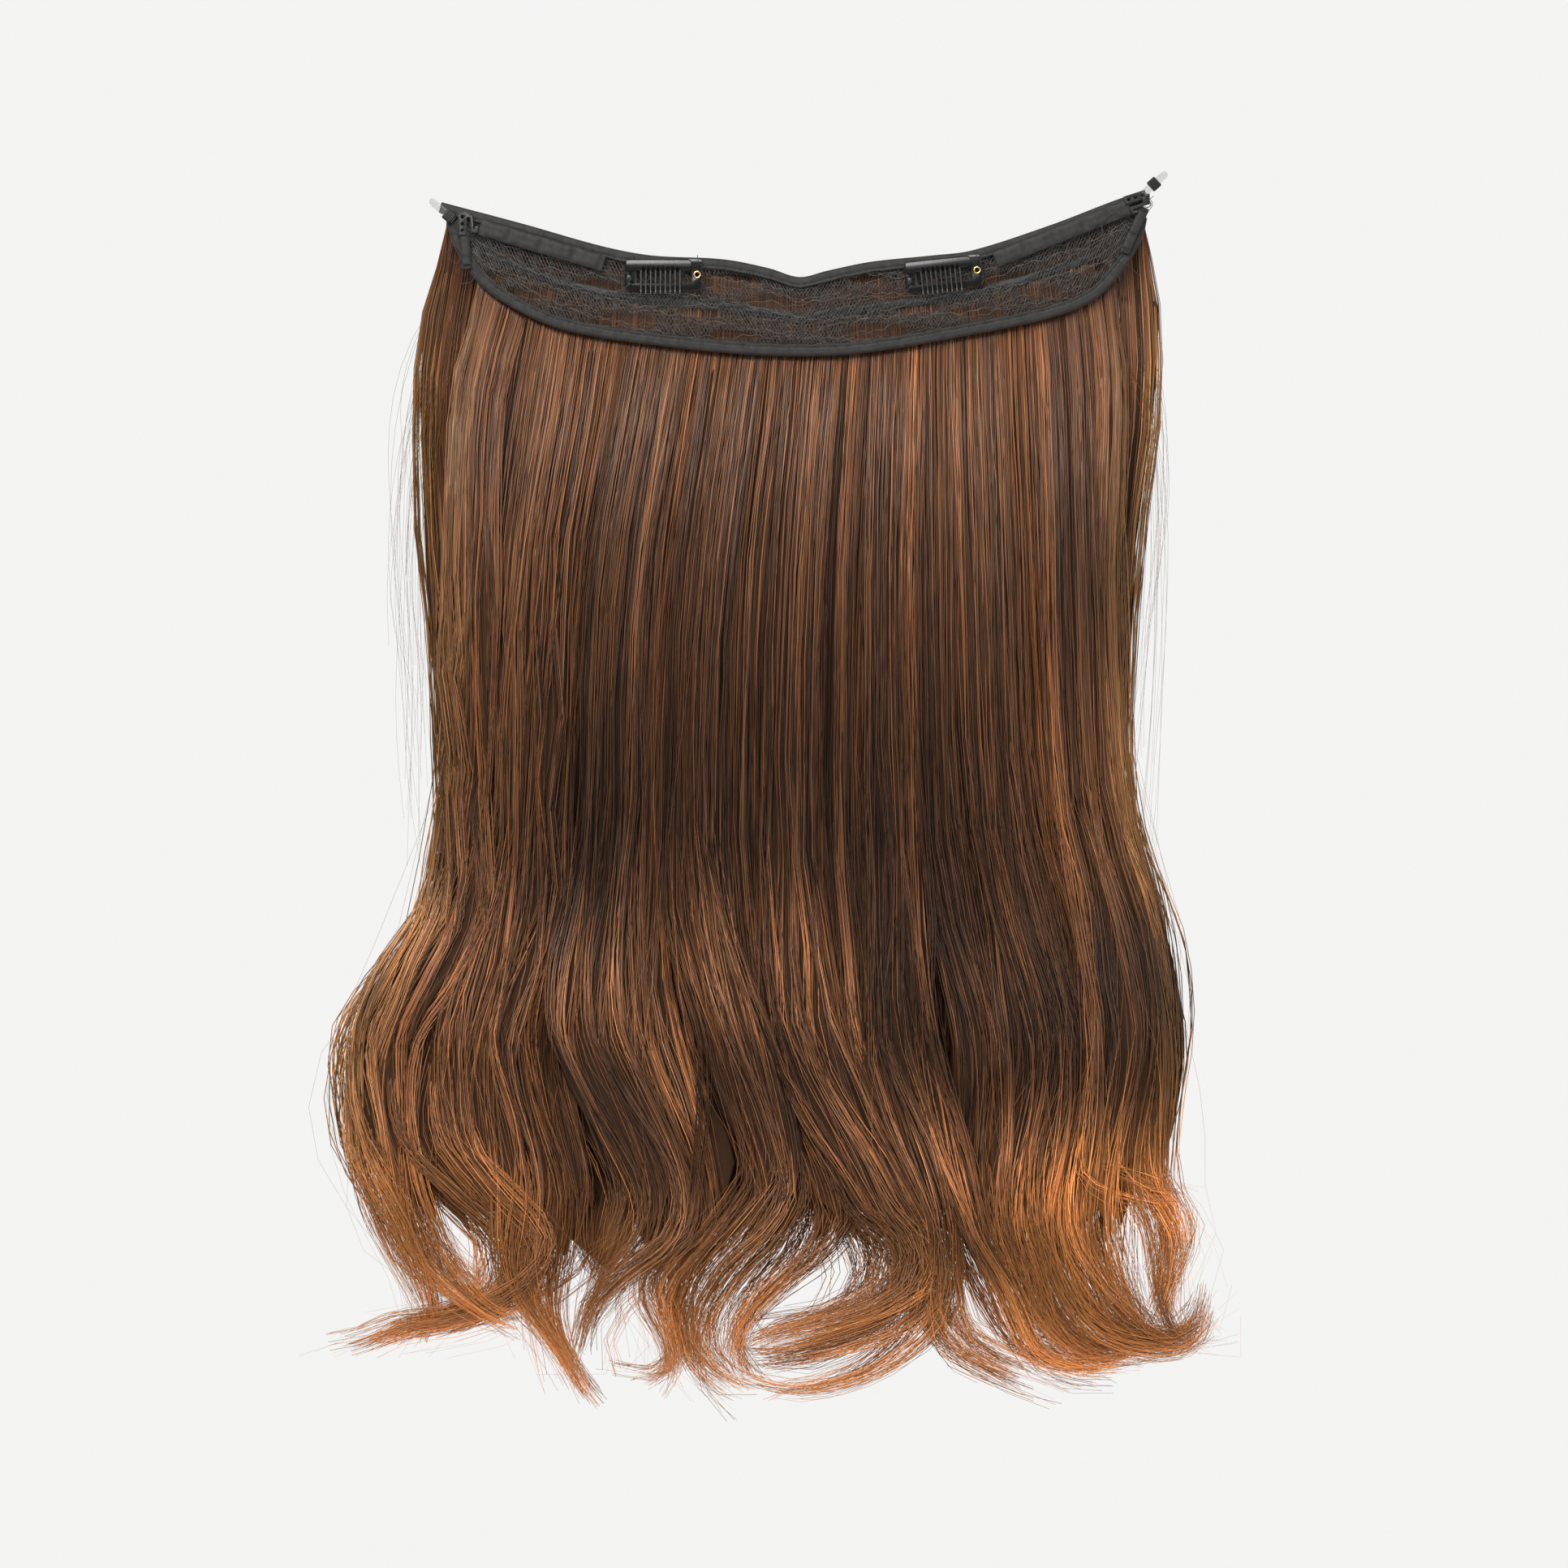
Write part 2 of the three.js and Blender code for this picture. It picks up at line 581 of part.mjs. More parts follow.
// One lock: level rings down its path, each as wide and deep as its row of hair and its taper allow.
// Every second lock lies in the far half of the row's depth, so that neighbours overlap like shingles.
function lock(row, layer, inFarHalf, profile) {
  const path = [
    { z: ABOVE_Z, x: row.root },
    { z: BAND_Z, x: row.root },
    { z: SWELL_Z, x: row.swell },
    { z: FALL_Z, x: row.fall },
    { z: WAIST_Z, x: row.waist },
    { z: BELLY_Z, x: row.belly },
    { z: TUCK_Z, x: row.tuck },
    { z: HEM_Z, x: row.hem },
    { z: row.tipZ, x: row.tipX },
  ];
  const stepDown = 1;
  const ringAt = ({ height, front, back, keep }) => {
    const level = height(row.root);
    const middle = smoothValue(path, 'x', level);
    const lean = smoothValue(path, 'x', level - stepDown) - middle;
    const width = row.width * (keep?.width ?? smoothValue(LOCK_TAPER, 'width', level));
    const depth = keep?.depth ?? smoothValue(LOCK_TAPER, 'depth', level);
    const reach = (width / 2) * Math.hypot(1, lean / stepDown);
    return profile.map(([across, deep]) => {
      const x = middle + across * reach;
      const z = height(x);
      const layerDepth = smoothValue(HAIR_DEPTH, 'layer', z);
      const near = front ?? smoothValue(HAIR_DEPTH, 'front', z) + layer * layerDepth + LAYER_AIR;
      const far = back ?? near + layerDepth - 2 * LAYER_AIR;
      const halfDepth = (far - near) / 2 - LOCK_AIR;
      const middleY = inFarHalf ? far - halfDepth / 2 : near + halfDepth / 2;
      return new THREE.Vector3(x, middleY + (deep * depth * halfDepth) / 2, z);
    });
  };
  const levelRing = (level) => ({ height: () => level });
  const rings = [
    ...rootRings(layer),
    ...RING_HEIGHTS.map(levelRing),
    { ...levelRing(row.tipZ), keep: TIP_KEEP },
  ];
  return loft(rings.map(ringAt), profile);
}

// A row of hair: its locks fused to a head strip
function weft(name, headGeometry, locks, layer, profile) {
  const strands = locks.map((row, i) => lock(row, layer, i % 2 === 1, profile));
  return piece(name, fuse([headGeometry, ...strands]), 'hair');
}

function headAlong(stretch, inset, frontY) {
  const backY = frontY + HEAD_STRIP.thickness;
  const profile = [
    [inset, frontY],
    [inset + HEAD_STRIP.height, frontY],
    [inset + HEAD_STRIP.height, backY],
    [inset, backY],
  ];
  return carryAlong(stretch, profile);
}

// Where a head strip has its joints: its ends, every lock's root and half way between neighbours
function headPlaces(locks, ends) {
  const roots = locks.map(({ root }) => root);
  const between = roots.slice(1).map((root, i) => (root + roots[i]) / 2);
  return [ends.left, ...roots, ...between, ends.right].sort((a, b) => a - b);
}

function wefts() {
  const alongEdge = (edge, locks, ends) => headPlaces(locks, ends).map((x) => edge.placeAt(x));
  const lowerLine = alongEdge(bottomEdge, LOWER_LOCKS, LOWER_ENDS);
  const lowerHead = headAlong(lowerLine, HEAD_STRIP.inset, EDGE_ROOM);
  const upperLine = alongEdge(topEdge, UPPER_LOCKS, UPPER_ENDS);
  const upperHead = headAlong(upperLine, HEAD_STRIP.inset, EDGE_ROOM);
  const middleLine = headPlaces(MIDDLE_LOCKS, MIDDLE_ENDS).map((x) => ({
    point: new THREE.Vector3(x, 0, middleHeight(x)),
    inward: new THREE.Vector3(0, 0, 1),
  }));
  const middleHead = headAlong(middleLine, -HEAD_STRIP.height / 2, LACE_ROOM);
  return [
    weft('lower_weft', lowerHead, LOWER_LOCKS, 0, SIX_SIDES),
    weft('middle_weft', middleHead, MIDDLE_LOCKS, 1, FOUR_SIDES),
    weft('upper_weft', upperHead, UPPER_LOCKS, 2, SIX_SIDES),
  ];
}

const hairExtension = new THREE.Group();
hairExtension.add(laceBand());
const topStretch = topEdge.stretch(-Infinity, Infinity, TOP_STEPS);
hairExtension.add(binding('top_binding', topStretch, TOP_RIBBON_WIDTH));
const bottomStretch = bottomEdge.stretch(BOTTOM_RIBBON_ENDS.left, BOTTOM_RIBBON_ENDS.right, BOTTOM_STEPS);
hairExtension.add(binding('bottom_binding', bottomStretch, BOTTOM_RIBBON_WIDTH));
TAPES.forEach((row) => hairExtension.add(tape(row)));
HOOKS.forEach((row) => hairExtension.add(hook(row)));
TIPS.forEach((row) => hairExtension.add(clearTip(row)));
CLIPS.forEach((row) => hairExtension.add(snapClip(row)));
hairExtension.add(...wefts());

export default hairExtension;
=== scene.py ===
"""Dresses a clip-in hair extension: rows of hair, a lace band with ribbons, snap clips and small fittings.

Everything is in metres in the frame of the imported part: +Z up, the scalp side of the band towards -Y.
Tables are written in millimetres, as the part's own sizes are, and turned into metres where they are read.
"""

import json
import logging
import math
from dataclasses import dataclass, field
from enum import Enum

import bmesh
import bpy
import numpy as np
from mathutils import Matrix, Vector


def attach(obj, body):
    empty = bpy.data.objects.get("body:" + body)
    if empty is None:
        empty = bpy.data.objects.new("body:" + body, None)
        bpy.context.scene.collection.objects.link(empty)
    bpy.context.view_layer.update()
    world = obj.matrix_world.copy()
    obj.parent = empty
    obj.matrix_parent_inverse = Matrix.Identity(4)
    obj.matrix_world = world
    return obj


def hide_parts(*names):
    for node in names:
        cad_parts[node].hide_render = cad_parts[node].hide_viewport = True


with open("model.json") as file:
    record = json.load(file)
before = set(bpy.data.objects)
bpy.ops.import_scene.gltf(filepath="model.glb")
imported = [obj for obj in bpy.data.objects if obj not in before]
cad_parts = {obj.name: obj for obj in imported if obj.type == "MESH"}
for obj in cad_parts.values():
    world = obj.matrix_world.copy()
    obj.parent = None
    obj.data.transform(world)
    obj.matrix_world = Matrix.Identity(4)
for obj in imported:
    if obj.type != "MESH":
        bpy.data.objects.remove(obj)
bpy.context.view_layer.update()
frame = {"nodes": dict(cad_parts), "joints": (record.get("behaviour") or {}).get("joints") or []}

LOG = logging.getLogger("hair_extension")
Array = np.ndarray
Object = bpy.types.Object
Material = bpy.types.Material
Node = bpy.types.Node
Draw = np.random.Generator
Pair = tuple[float, float]
Triple = tuple[float, float, float]
Lock = tuple[float, ...]
Table = tuple[tuple[float, ...], ...]

MM = 0.001
BAND = "band"
# Name of the strands' flat map, which the export keeps, and how many sides a strand has
STRAND_MAP = "OFBake"
STRAND_SIDES = 3
# Steps between two given points of a smooth line, before its points are spaced evenly
FINE_STEPS = 20

# The photograph's frame: its side in pixels, the size of a pixel, and the pixel of the part's origin
PHOTO_SIDE = 1932
PIXEL_MM = 0.32
ORIGIN_PIXEL = (985, 388)

# The band's two edges in x and z, from the left tip to the right tip, and the ribbons round them
TOP_EDGE_ROWS = (
    (-141, 44.5), (-109, 36), (-77, 27), (-58, 23.5), (-30, 22), (-12, 18.5), (0, 15),
    (11, 17.5), (28, 21), (52, 23.5), (68, 25.5), (99, 35.5), (131, 47.5), (138, 48),
)
BOTTOM_EDGE_ROWS = (
    (-140, 40), (-136, 26.5), (-126, 12), (-110, 1), (-91, -6.5), (-53, -12.5), (-14, -16), (21, -15.5),
    (62, -9), (96, -2), (114, 4.5), (124, 13), (132, 24), (136, 33), (138, 43),
)

# Heights where the hair changes its course
ABOVE_Z, BAND_Z, SWELL_Z, FALL_Z, WAIST_Z, BELLY_Z, TUCK_Z, HEM_Z = 60, 0, -100, -196, -234, -288, -340, -384
LOWEST_Z = -435
# Where the inner bodies of the locks end, and over what height they narrow
CLOSED_Z, NARROWING = -366, 32
# How far the outermost locks swing out beside the band, at the left and at the right
END_SWING = (-8, 5)
# Where the band's lower edge turns steeply up at both ends, in metres
STEEP_ENDS = (-0.128, 0.126)
# Height over which the light on the hair changes at the band's lower edge, to each side of it
BAND_FADE = 4

# How far forward the hair comes, and how thick one row of it is: height, front, thickness
HAIR_DEPTH = (
    (ABOVE_Z, 2.6, 3.9), (-17, 2.6, 3.9), (-65, -4, 9.5), (-110, -7, 11), (-165, -4.5, 11),
    (-220, -0.5, 10.5), (BELLY_Z, -9, 12), (-345, -4, 11), (-430, -9, 9),
)
# How much of its width and depth a lock keeps: height, width, depth
LOCK_TAPER = (
    (ABOVE_Z, 0.96, 1), (-10, 0.96, 1), (-60, 1, 1), (FALL_Z, 1, 1), (BELLY_Z, 1.12, 1),
    (TUCK_Z, 1.1, 0.9), (HEM_Z, 0.66, 0.75), (LOWEST_Z, 0.2, 0.4),
)
# Painted light in the hair's colour down its length: painted sheen under the band and on the waves, painted
# shade between them: height, brightness
HAIR_PAINTED_LIGHT = (
    (ABOVE_Z, 1.0), (-20, 1.32), (-70, 1.0), (-125, 0.72), (-175, 0.52), (-215, 0.52), (-245, 1.05),
    (-275, 1.75), (-310, 1.2), (-345, 0.9), (-375, 1.1), (LOWEST_Z, 1.2),
)

# The locks of each row: x at the root, swell, fall, waist, belly, tuck and hem,
# then the tip's x and z, and the width
LOWER_LOCKS = (
    (-118, -130, -132, -136, -165, -162, -141, -174, -404, 22),
    (-102, -116, -119, -123, -141, -141, -123, -154, -398, 22),
    (-87, -102, -106, -110, -124, -119, -107, -115, -400, 22),
    (-71, -87, -91, -94, -106, -95, -100, -80, -430, 22),
    (-55, -71, -76, -79, -83, -59, -69, -87, -421, 22),
    (-40, -55, -59, -61, -59, -37, -53, -76, -408, 22),
    (-24, -37, -41, -39, -26, -11, -44, -26, -427, 22),
    (-8, -19, -22, -21, -11, 10, 26, -6, -420, 22),
    (7, -1, -3, -2, 5, 29, 46, 11, -426, 22),
    (23, 17, 16, 18, 21, 44, 53, 83, -422, 22),
    (39, 36, 37, 39, 41, 59, 68, 105, -424, 22),
    (54, 55, 57, 63, 75, 76, 85, 115, -417, 22),
    (70, 73, 77, 85, 96, 87, 101, 131, -415, 22),
    (86, 90, 95, 105, 112, 102, 117, 157, -402, 22),
    (102, 106, 111, 121, 126, 119, 130, 146, -405, 22),
    (117, 118, 123, 133, 138, 134, 140, 138, -398, 18),
)
MIDDLE_LOCKS = (
    (-110, -121, -126, -130, -154, -153, -133, -162, -401, 36),
    (-83, -94, -98, -102, -114, -107, -91, -110, -407, 36),
    (-56, -64, -68, -70, -72, -50, -40, -62, -417, 36),
    (-29, -32, -34, -31, -19, -2, -26, -34, -420, 36),
    (-2, 2, 5, 6, 13, 18, -3, -18, -421, 36),
    (25, 30, 29, 30, 32, 50, 32, 8, -420, 36),
    (52, 62, 66, 74, 85, 80, 94, 123, -412, 36),
    (79, 94, 101, 112, 120, 110, 104, 98, -417, 36),
    (105, 114, 118, 128, 133, 126, 133, 150, -401, 30),
)
UPPER_LOCKS = (
    (-133, -141, -132, -135, -167, -164, -144, -184, -408, 18),
    (-112, -118, -119, -123, -142, -136, -120, -136, -401, 36),
    (-86, -91, -94, -98, -105, -89, -76, -94, -417, 36),
    (-58, -62, -66, -66, -62, -43, -59, -69, -417, 36),
    (-29, -33, -34, -30, -21, -8, -27, -43, -423, 36),
    (0, 0, 0, 0, 5, 21, 8, -11, -425, 36),
    (29, 30, 32, 32, 34, 46, 30, 24, -423, 36),
    (58, 59, 62, 69, 78, 75, 75, 94, -420, 36),
    (84, 85, 91, 101, 107, 98, 104, 117, -417, 36),
    (109, 107, 110, 122, 126, 117, 123, 136, -410, 30),
    (130, 126, 123, 134, 134, 132, 133, 160, -401, 18),
)

# The curling ends at the hem: width where the strands gather, then x and z of the line from there to the tip
WISPS = (
    (16, (-175, -325), (-166, -349), (-155, -369), (-148, -384), (-145, -395), (-148, -404), (-154, -410)),
    (20, (-147, -325), (-131, -347), (-115, -363), (-112.5, -375), (-121, -388), (-138, -396), (-155, -399),
     (-170, -406), (-186, -409)),
    (12, (-156, -340), (-147, -369), (-136, -382), (-123, -393), (-114, -397), (-106, -392)),
    (18, (-100, -344), (-101, -361), (-103, -377), (-101, -392), (-94, -407), (-88, -419), (-79, -431)),
    (14, (-87, -340), (-87, -357), (-84, -371), (-78, -381), (-70, -386)),
    (14, (-70, -344), (-71, -361), (-75, -375), (-83, -386)),
    (18, (-57, -335), (-54, -352), (-59, -365), (-73, -377), (-84, -392), (-87, -406), (-90, -415)),
    (12, (-57, -335), (-54, -352), (-60, -368), (-77, -386), (-83, -398), (-83, -407), (-78, -411)),
    (20, (-11, -335), (-19, -349), (-32, -363), (-44, -377), (-50, -393), (-46, -409), (-38, -421),
     (-26, -427), (-12, -424)),
    (18, (-7, -344), (-16, -362), (-29, -376), (-38, -392), (-39.5, -406), (-33, -415), (-23, -421),
     (-13, -422)),
    (8, (-28, -359), (-43, -374), (-50, -386), (-47.5, -404), (-50, -415), (-62, -419), (-78, -415)),
    (16, (7, -354), (0, -371), (-14, -385), (-23, -397), (-26.5, -408), (-21, -418), (-11, -422)),
    (16, (13, -352), (27, -366), (29, -380), (21, -392), (6, -399), (-11, -403), (-22, -409), (-20, -418)),
    (20, (32, -354), (41, -369), (41, -384), (33, -395), (18, -403), (1, -409), (-15, -412), (-23, -409)),
    (20, (46, -354), (51, -371), (51, -386), (45, -399), (30, -412), (13, -420), (-4, -423), (-20, -419),
     (-25, -414)),
    (14, (49, -354), (52, -374), (53, -388), (58, -399), (71, -409), (85, -415), (103, -421)),
    (14, (51, -361), (50, -376), (51, -391), (58, -406), (73, -415), (89, -423), (104, -427)),
    (18, (66, -361), (76, -379), (83, -393), (90, -406), (103, -413), (120, -414), (136, -409)),
    (18, (81, -354), (87, -374), (95, -391), (106, -404), (120, -410), (132, -407), (138, -401)),
    (22, (100, -352), (103, -371), (110, -388), (122, -401), (137, -406), (150, -406), (158, -401),
     (161, -390), (162, -381)),
    (16, (123, -344), (123, -364), (127, -382), (133, -396), (138, -403), (147, -407), (155, -404)),
    (10, (136, -342), (144, -353), (148, -366), (145, -384), (140, -395), (136, -402)),
    (10, (137, -344), (143, -359), (143, -380), (144, -393), (149, -402), (156, -406)),
    (6, (129, -336), (136, -342), (143, -346), (150, -343)),
)


class Slot(Enum):
    """The record's material slots."""

    LACE = "lace"
    RIBBON = "ribbon"
    PAINT = "paint"
    BRASS = "brass"
    CLEAR = "clear"
    HAIR = "hair"


class Side(Enum):
    """The two ends of the band, seen from the scalp side."""

    LEFT = "left"
    RIGHT = "right"


class HairRow(Enum):
    """The three sewn rows of hair, from the scalp side to the back."""

    LOWER = 0
    MIDDLE = 1
    UPPER = 2


# Curves and surfaces


def smoothstep(low: float, high: float, value: Array) -> Array:
    """A soft step from 0 at low to 1 at high: three times the square less twice the cube."""
    share = np.clip((value - low) / (high - low), 0, 1)
    return share * share * (3 - 2 * share)


def cubic_through(knots: Array, values: Array, at: Array) -> Array:
    """A smooth curve through values at rising knots.

    Between two knots it is the cubic that meets both values, with the slope at each knot that of the line
    between the knots beside it.

    Args:
        knots: rising places, one for each value.
        values: what the curve passes through.
        at: where to read the curve, in any shape.

    Returns:
        The curve's values, in the shape of at.
    """
    knots = np.asarray(knots, float)
    values = np.asarray(values, float)
    slopes = np.empty_like(values)
    slopes[1:-1] = (values[2:] - values[:-2]) / (knots[2:] - knots[:-2])
    slopes[0] = (values[1] - values[0]) / (knots[1] - knots[0])
    slopes[-1] = (values[-1] - values[-2]) / (knots[-1] - knots[-2])
    first = np.clip(np.searchsorted(knots, at) - 1, 0, len(knots) - 2)
    span = knots[first + 1] - knots[first]
    share = np.clip((at - knots[first]) / span, 0, 1)
    keep = 2 * share**3 - 3 * share**2 + 1
    lean_first = share**3 - 2 * share**2 + share
    lean_second = share**3 - share**2
    between = keep * values[first] + (1 - keep) * values[first + 1]
    return between + span * (lean_first * slopes[first] + lean_second * slopes[first + 1])


def by_height(rows: Table, column: int, height: Array) -> Array:
    """One column of a table whose first column is a falling height, read smoothly at other heights."""
    table = np.array(rows, float)
    return cubic_through(-table[:, 0], table[:, column], -np.asarray(height, float))


def travelled(points: Array) -> Array:
    """Distance along a line of points, from 0 at the first one."""
    steps = np.linalg.norm(np.diff(points, axis=0), axis=1)
    return np.concatenate([[0.0], np.cumsum(steps)])


def evenly_spaced(points: Array, count: int) -> Array:
    """A line of points resampled at equal steps along its length.

    Args:
        points: the line's points, n by any number of coordinates.
        count: how many points to make.

    Returns:
        The new points, with the same coordinates.
    """
    distance = travelled(points)
    wanted = np.linspace(0, distance[-1], count)
    return np.stack([np.interp(wanted, distance, column) for column in points.T], axis=1)


def smooth_line(rows: Table, count: int) -> Array:
    """A smooth line through given points: each coordinate is a cubic of the running chord length.

    Args:
        rows: the points that the line passes through.
        count: how many points to make.

    Returns:
        Evenly spaced points of the line.
    """
    points = np.array(rows, float)
    knots = travelled(points)
    fine = np.linspace(0, knots[-1], FINE_STEPS * len(points))
    dense = np.stack([cubic_through(knots, column, fine) for column in points.T], axis=1)
    return evenly_spaced(dense, count)


def unit(vectors: Array) -> Array:
    """Vectors scaled to length 1 along their last axis."""
    return vectors / np.maximum(np.linalg.norm(vectors, axis=-1, keepdims=True), 1e-12)


def oblong(sides: int, power: float) -> tuple[Array, Array]:
    """A rounded oblong: the cosine and the sine of an angle, each raised to a power with its sign kept.

    Args:
        sides: points round it.
        power: 1 for a circle, and nearer 0 for squarer corners.

    Returns:
        Places across and in depth, from -1 to 1.
    """
    angle = np.linspace(0, 2 * math.pi, sides, endpoint=False)
    wide = np.sign(np.cos(angle)) * np.abs(np.cos(angle)) ** power
    deep = np.sign(np.sin(angle)) * np.abs(np.sin(angle)) ** power
    return wide, deep


@dataclass
class Surface:
    """One or more closed shapes as arrays.

    Attributes:
        points: corners, n by 3, in metres.
        faces: arrays of corner numbers, each with one number of corners to a face.
        tones: colours of the corners, n by 3, or None.
        chart: flat coordinates of the corners, n by 2, or None.
    """

    points: Array
    faces: list[Array]
    tones: Array | None = None
    chart: Array | None = None

    def outward(self) -> "Surface":
        """Turns the faces round if the tetrahedra from the middle of the corners to them sum up negative.

        Returns:
            The same surface.
        """
        volume = 0.0
        for group in self.faces:
            corners = self.points[group] - self.points.mean(axis=0)
            for second in range(1, group.shape[1] - 1):
                normals = np.cross(corners[:, second], corners[:, second + 1])
                volume += float((corners[:, 0] * normals).sum())
        if volume < 0:
            self.faces = [group[:, ::-1] for group in self.faces]
        return self


def joined(surfaces: list[Surface]) -> Surface:
    """Several surfaces as one, with their tones and charts where the first one has them.

    Args:
        surfaces: the surfaces, which all have tones or charts if the first one has.

    Returns:
        One surface with all their corners and faces.
    """
    starts = np.cumsum([0] + [len(surface.points) for surface in surfaces])
    faces = [group + start for surface, start in zip(surfaces, starts) for group in surface.faces]
    tones = None if surfaces[0].tones is None else np.concatenate([surface.tones for surface in surfaces])
    chart = None if surfaces[0].chart is None else np.concatenate([surface.chart for surface in surfaces])
    return Surface(np.concatenate([surface.points for surface in surfaces]), faces, tones, chart)


def skin(rings: Array, capped: bool = True) -> Surface:
    """A closed surface over rings of points, one ring after another.

    Args:
        rings: stations by points round the ring by 3.
        capped: True closes both ends with a face; False joins the last ring to the first.

    Returns:
        The surface, with a chart of metres along and round it.
    """
    stations, sides = rings.shape[:2]
    row = np.arange(stations - 1 if capped else stations)[:, None] * sides
    here = np.arange(sides)[None, :]
    beside = (here + 1) % sides
    after = (row + sides) % (stations * sides)
    quads = np.stack([row + here, row + beside, after + beside, after + here], axis=-1).reshape(-1, 4)
    faces = [quads]
    if capped:
        faces.append(np.arange(sides)[::-1][None, :])
        faces.append((np.arange(sides) + (stations - 1) * sides)[None, :])
    along = travelled(rings.mean(axis=1))[:, None]
    around = travelled(rings[0])[None, :]
    chart = np.stack(np.broadcast_arrays(along, around), axis=-1).reshape(-1, 2)
    return Surface(rings.reshape(-1, 3), faces, None, chart).outward()


def tubes(paths: Array, radii: Array, sides: int, turn: Array | float = 0.0) -> Surface:
    """Round tubes along many paths at once, each closed at both ends.

    A ring's points lie at a radius round the path, across its tangent.

    Args:
        paths: tubes by stations by 3.
        radii: tubes by stations.
        sides: points round a ring.
        turn: angle of each tube's first point, in radians.

    Returns:
        All the tubes as one surface.
    """
    count, stations = paths.shape[:2]
    tangent = unit(np.gradient(paths, axis=1))
    mostly_deep = np.abs(tangent[..., 1:2]) > 0.9
    across = np.where(mostly_deep, np.array([1.0, 0.0, 0.0]), np.array([0.0, 1.0, 0.0]))
    first = unit(np.cross(across, tangent))
    second = np.cross(tangent, first)
    angle = np.arange(sides) * 2 * math.pi / sides + np.reshape(turn, (-1, 1))
    angle = np.broadcast_to(angle, (count, sides))
    wide = first[:, :, None] * np.cos(angle)[:, None, :, None]
    deep = second[:, :, None] * np.sin(angle)[:, None, :, None]
    rings = paths[:, :, None] + radii[:, :, None, None] * (wide + deep)
    start = np.arange(count)[:, None, None] * stations * sides
    row = start + np.arange(stations - 1)[None, :, None] * sides
    here = np.arange(sides)[None, None, :]
    beside = (here + 1) % sides
    quads = np.stack([row + here, row + beside, row + sides + beside, row + sides + here], axis=-1)
    first_cap = start[:, :, 0] + np.arange(sides)[::-1]
    last_cap = start[:, :, 0] + (stations - 1) * sides + np.arange(sides)
    return Surface(rings.reshape(-1, 3), [quads.reshape(-1, 4), first_cap, last_cap])


def make_object(name: str, surface: Surface, material: Material, chart_name: str = "chart") -> Object:
    """Puts a surface into a new smooth-shaded mesh object at the origin.

    Args:
        name: the piece's name.
        surface: its corners and faces.
        material: its finish.
        chart_name: name of its flat map, if the surface has one.

    Returns:
        The new object, linked to the scene.
    """
    mesh = bpy.data.meshes.new(name)
    corners = np.concatenate([group.ravel() for group in surface.faces]).astype(np.int32)
    sizes = np.concatenate([np.full(len(group), group.shape[1]) for group in surface.faces])
    starts = np.concatenate([[0], np.cumsum(sizes)[:-1]]).astype(np.int32)
    mesh.vertices.add(len(surface.points))
    mesh.vertices.foreach_set("co", surface.points.astype(np.float32).ravel())
    mesh.loops.add(len(corners))
    mesh.loops.foreach_set("vertex_index", corners)
    mesh.polygons.add(len(starts))
    mesh.polygons.foreach_set("loop_start", starts)
    mesh.polygons.foreach_set("use_smooth", np.ones(len(starts), bool))
    mesh.update(calc_edges=True)
    if surface.tones is not None:
        colours = np.ones((len(surface.points), 4), np.float32)
        colours[:, :3] = surface.tones
        layer = mesh.color_attributes.new(HairFinish.ATTRIBUTE, "FLOAT_COLOR", "POINT")
        layer.data.foreach_set("color", colours.ravel())
    if surface.chart is not None:
        layer = mesh.uv_layers.new(name=chart_name)
        layer.data.foreach_set("uv", surface.chart[corners].astype(np.float32).ravel())
    mesh.materials.append(material)
    piece = bpy.data.objects.new(name, mesh)
    bpy.context.scene.collection.objects.link(piece)
    return piece


def settle(piece: Object, nodes: tuple[str, ...] = (), body: str = BAND) -> Object:
    """Makes a piece ride on its body and the solids it stands for, and logs it.

    Args:
        piece: the finished object.
        nodes: solids that it replaces.
        body: the body that carries it.

    Returns:
        The same object.
    """
    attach(piece, body)
    if nodes:
        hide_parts(*nodes)
    LOG.info("%s: %d faces on %s", piece.name, len(piece.data.polygons), body)
    return piece


def bevelled_copy(node: str, name: str, material: Material, width: float) -> Object:
    """A copy of a stamped solid with merged corners, whole flat faces and rounded edges.

    Args:
        node: the solid to copy.
        name: the new piece's name.
        material: its finish.
        width: width of the rounded edge, in metres.

    Returns:
        The new object.
    """
    mesh = frame["nodes"][node].data.copy()
    mesh.name = name
    work = bmesh.new()
    work.from_mesh(mesh)
    bmesh.ops.remove_doubles(work, verts=work.verts, dist=0.01 * MM)
    bmesh.ops.dissolve_limit(work, angle_limit=math.radians(1), verts=work.verts, edges=work.edges)
    for face in work.faces:
        face.smooth = True
    work.to_mesh(mesh)
    work.free()
    mesh.materials.clear()
    mesh.materials.append(material)
    piece = bpy.data.objects.new(name, mesh)
    bpy.context.scene.collection.objects.link(piece)
    bevel = piece.modifiers.new("rounded edges", "BEVEL")
    bevel.width = width
    bevel.segments = 2
    bevel.limit_method = "ANGLE"
    bevel.angle_limit = math.radians(35)
    bevel.harden_normals = True
    return piece


# Finishes


def blank_material(name: str) -> tuple[Material, Node]:
    """A new material with its Principled shader.

    Args:
        name: the material's name.

    Returns:
        The material and its shader.
    """
    material = bpy.data.materials.new(name)
    material.use_nodes = True
    return material, material.node_tree.nodes["Principled BSDF"]


def set_inputs(node: Node, **values: object) -> None:
    """Sets a node's inputs by name, with _ for a space in a name."""
    for name, value in values.items():
        node.inputs[name.replace("_", " ")].default_value = value


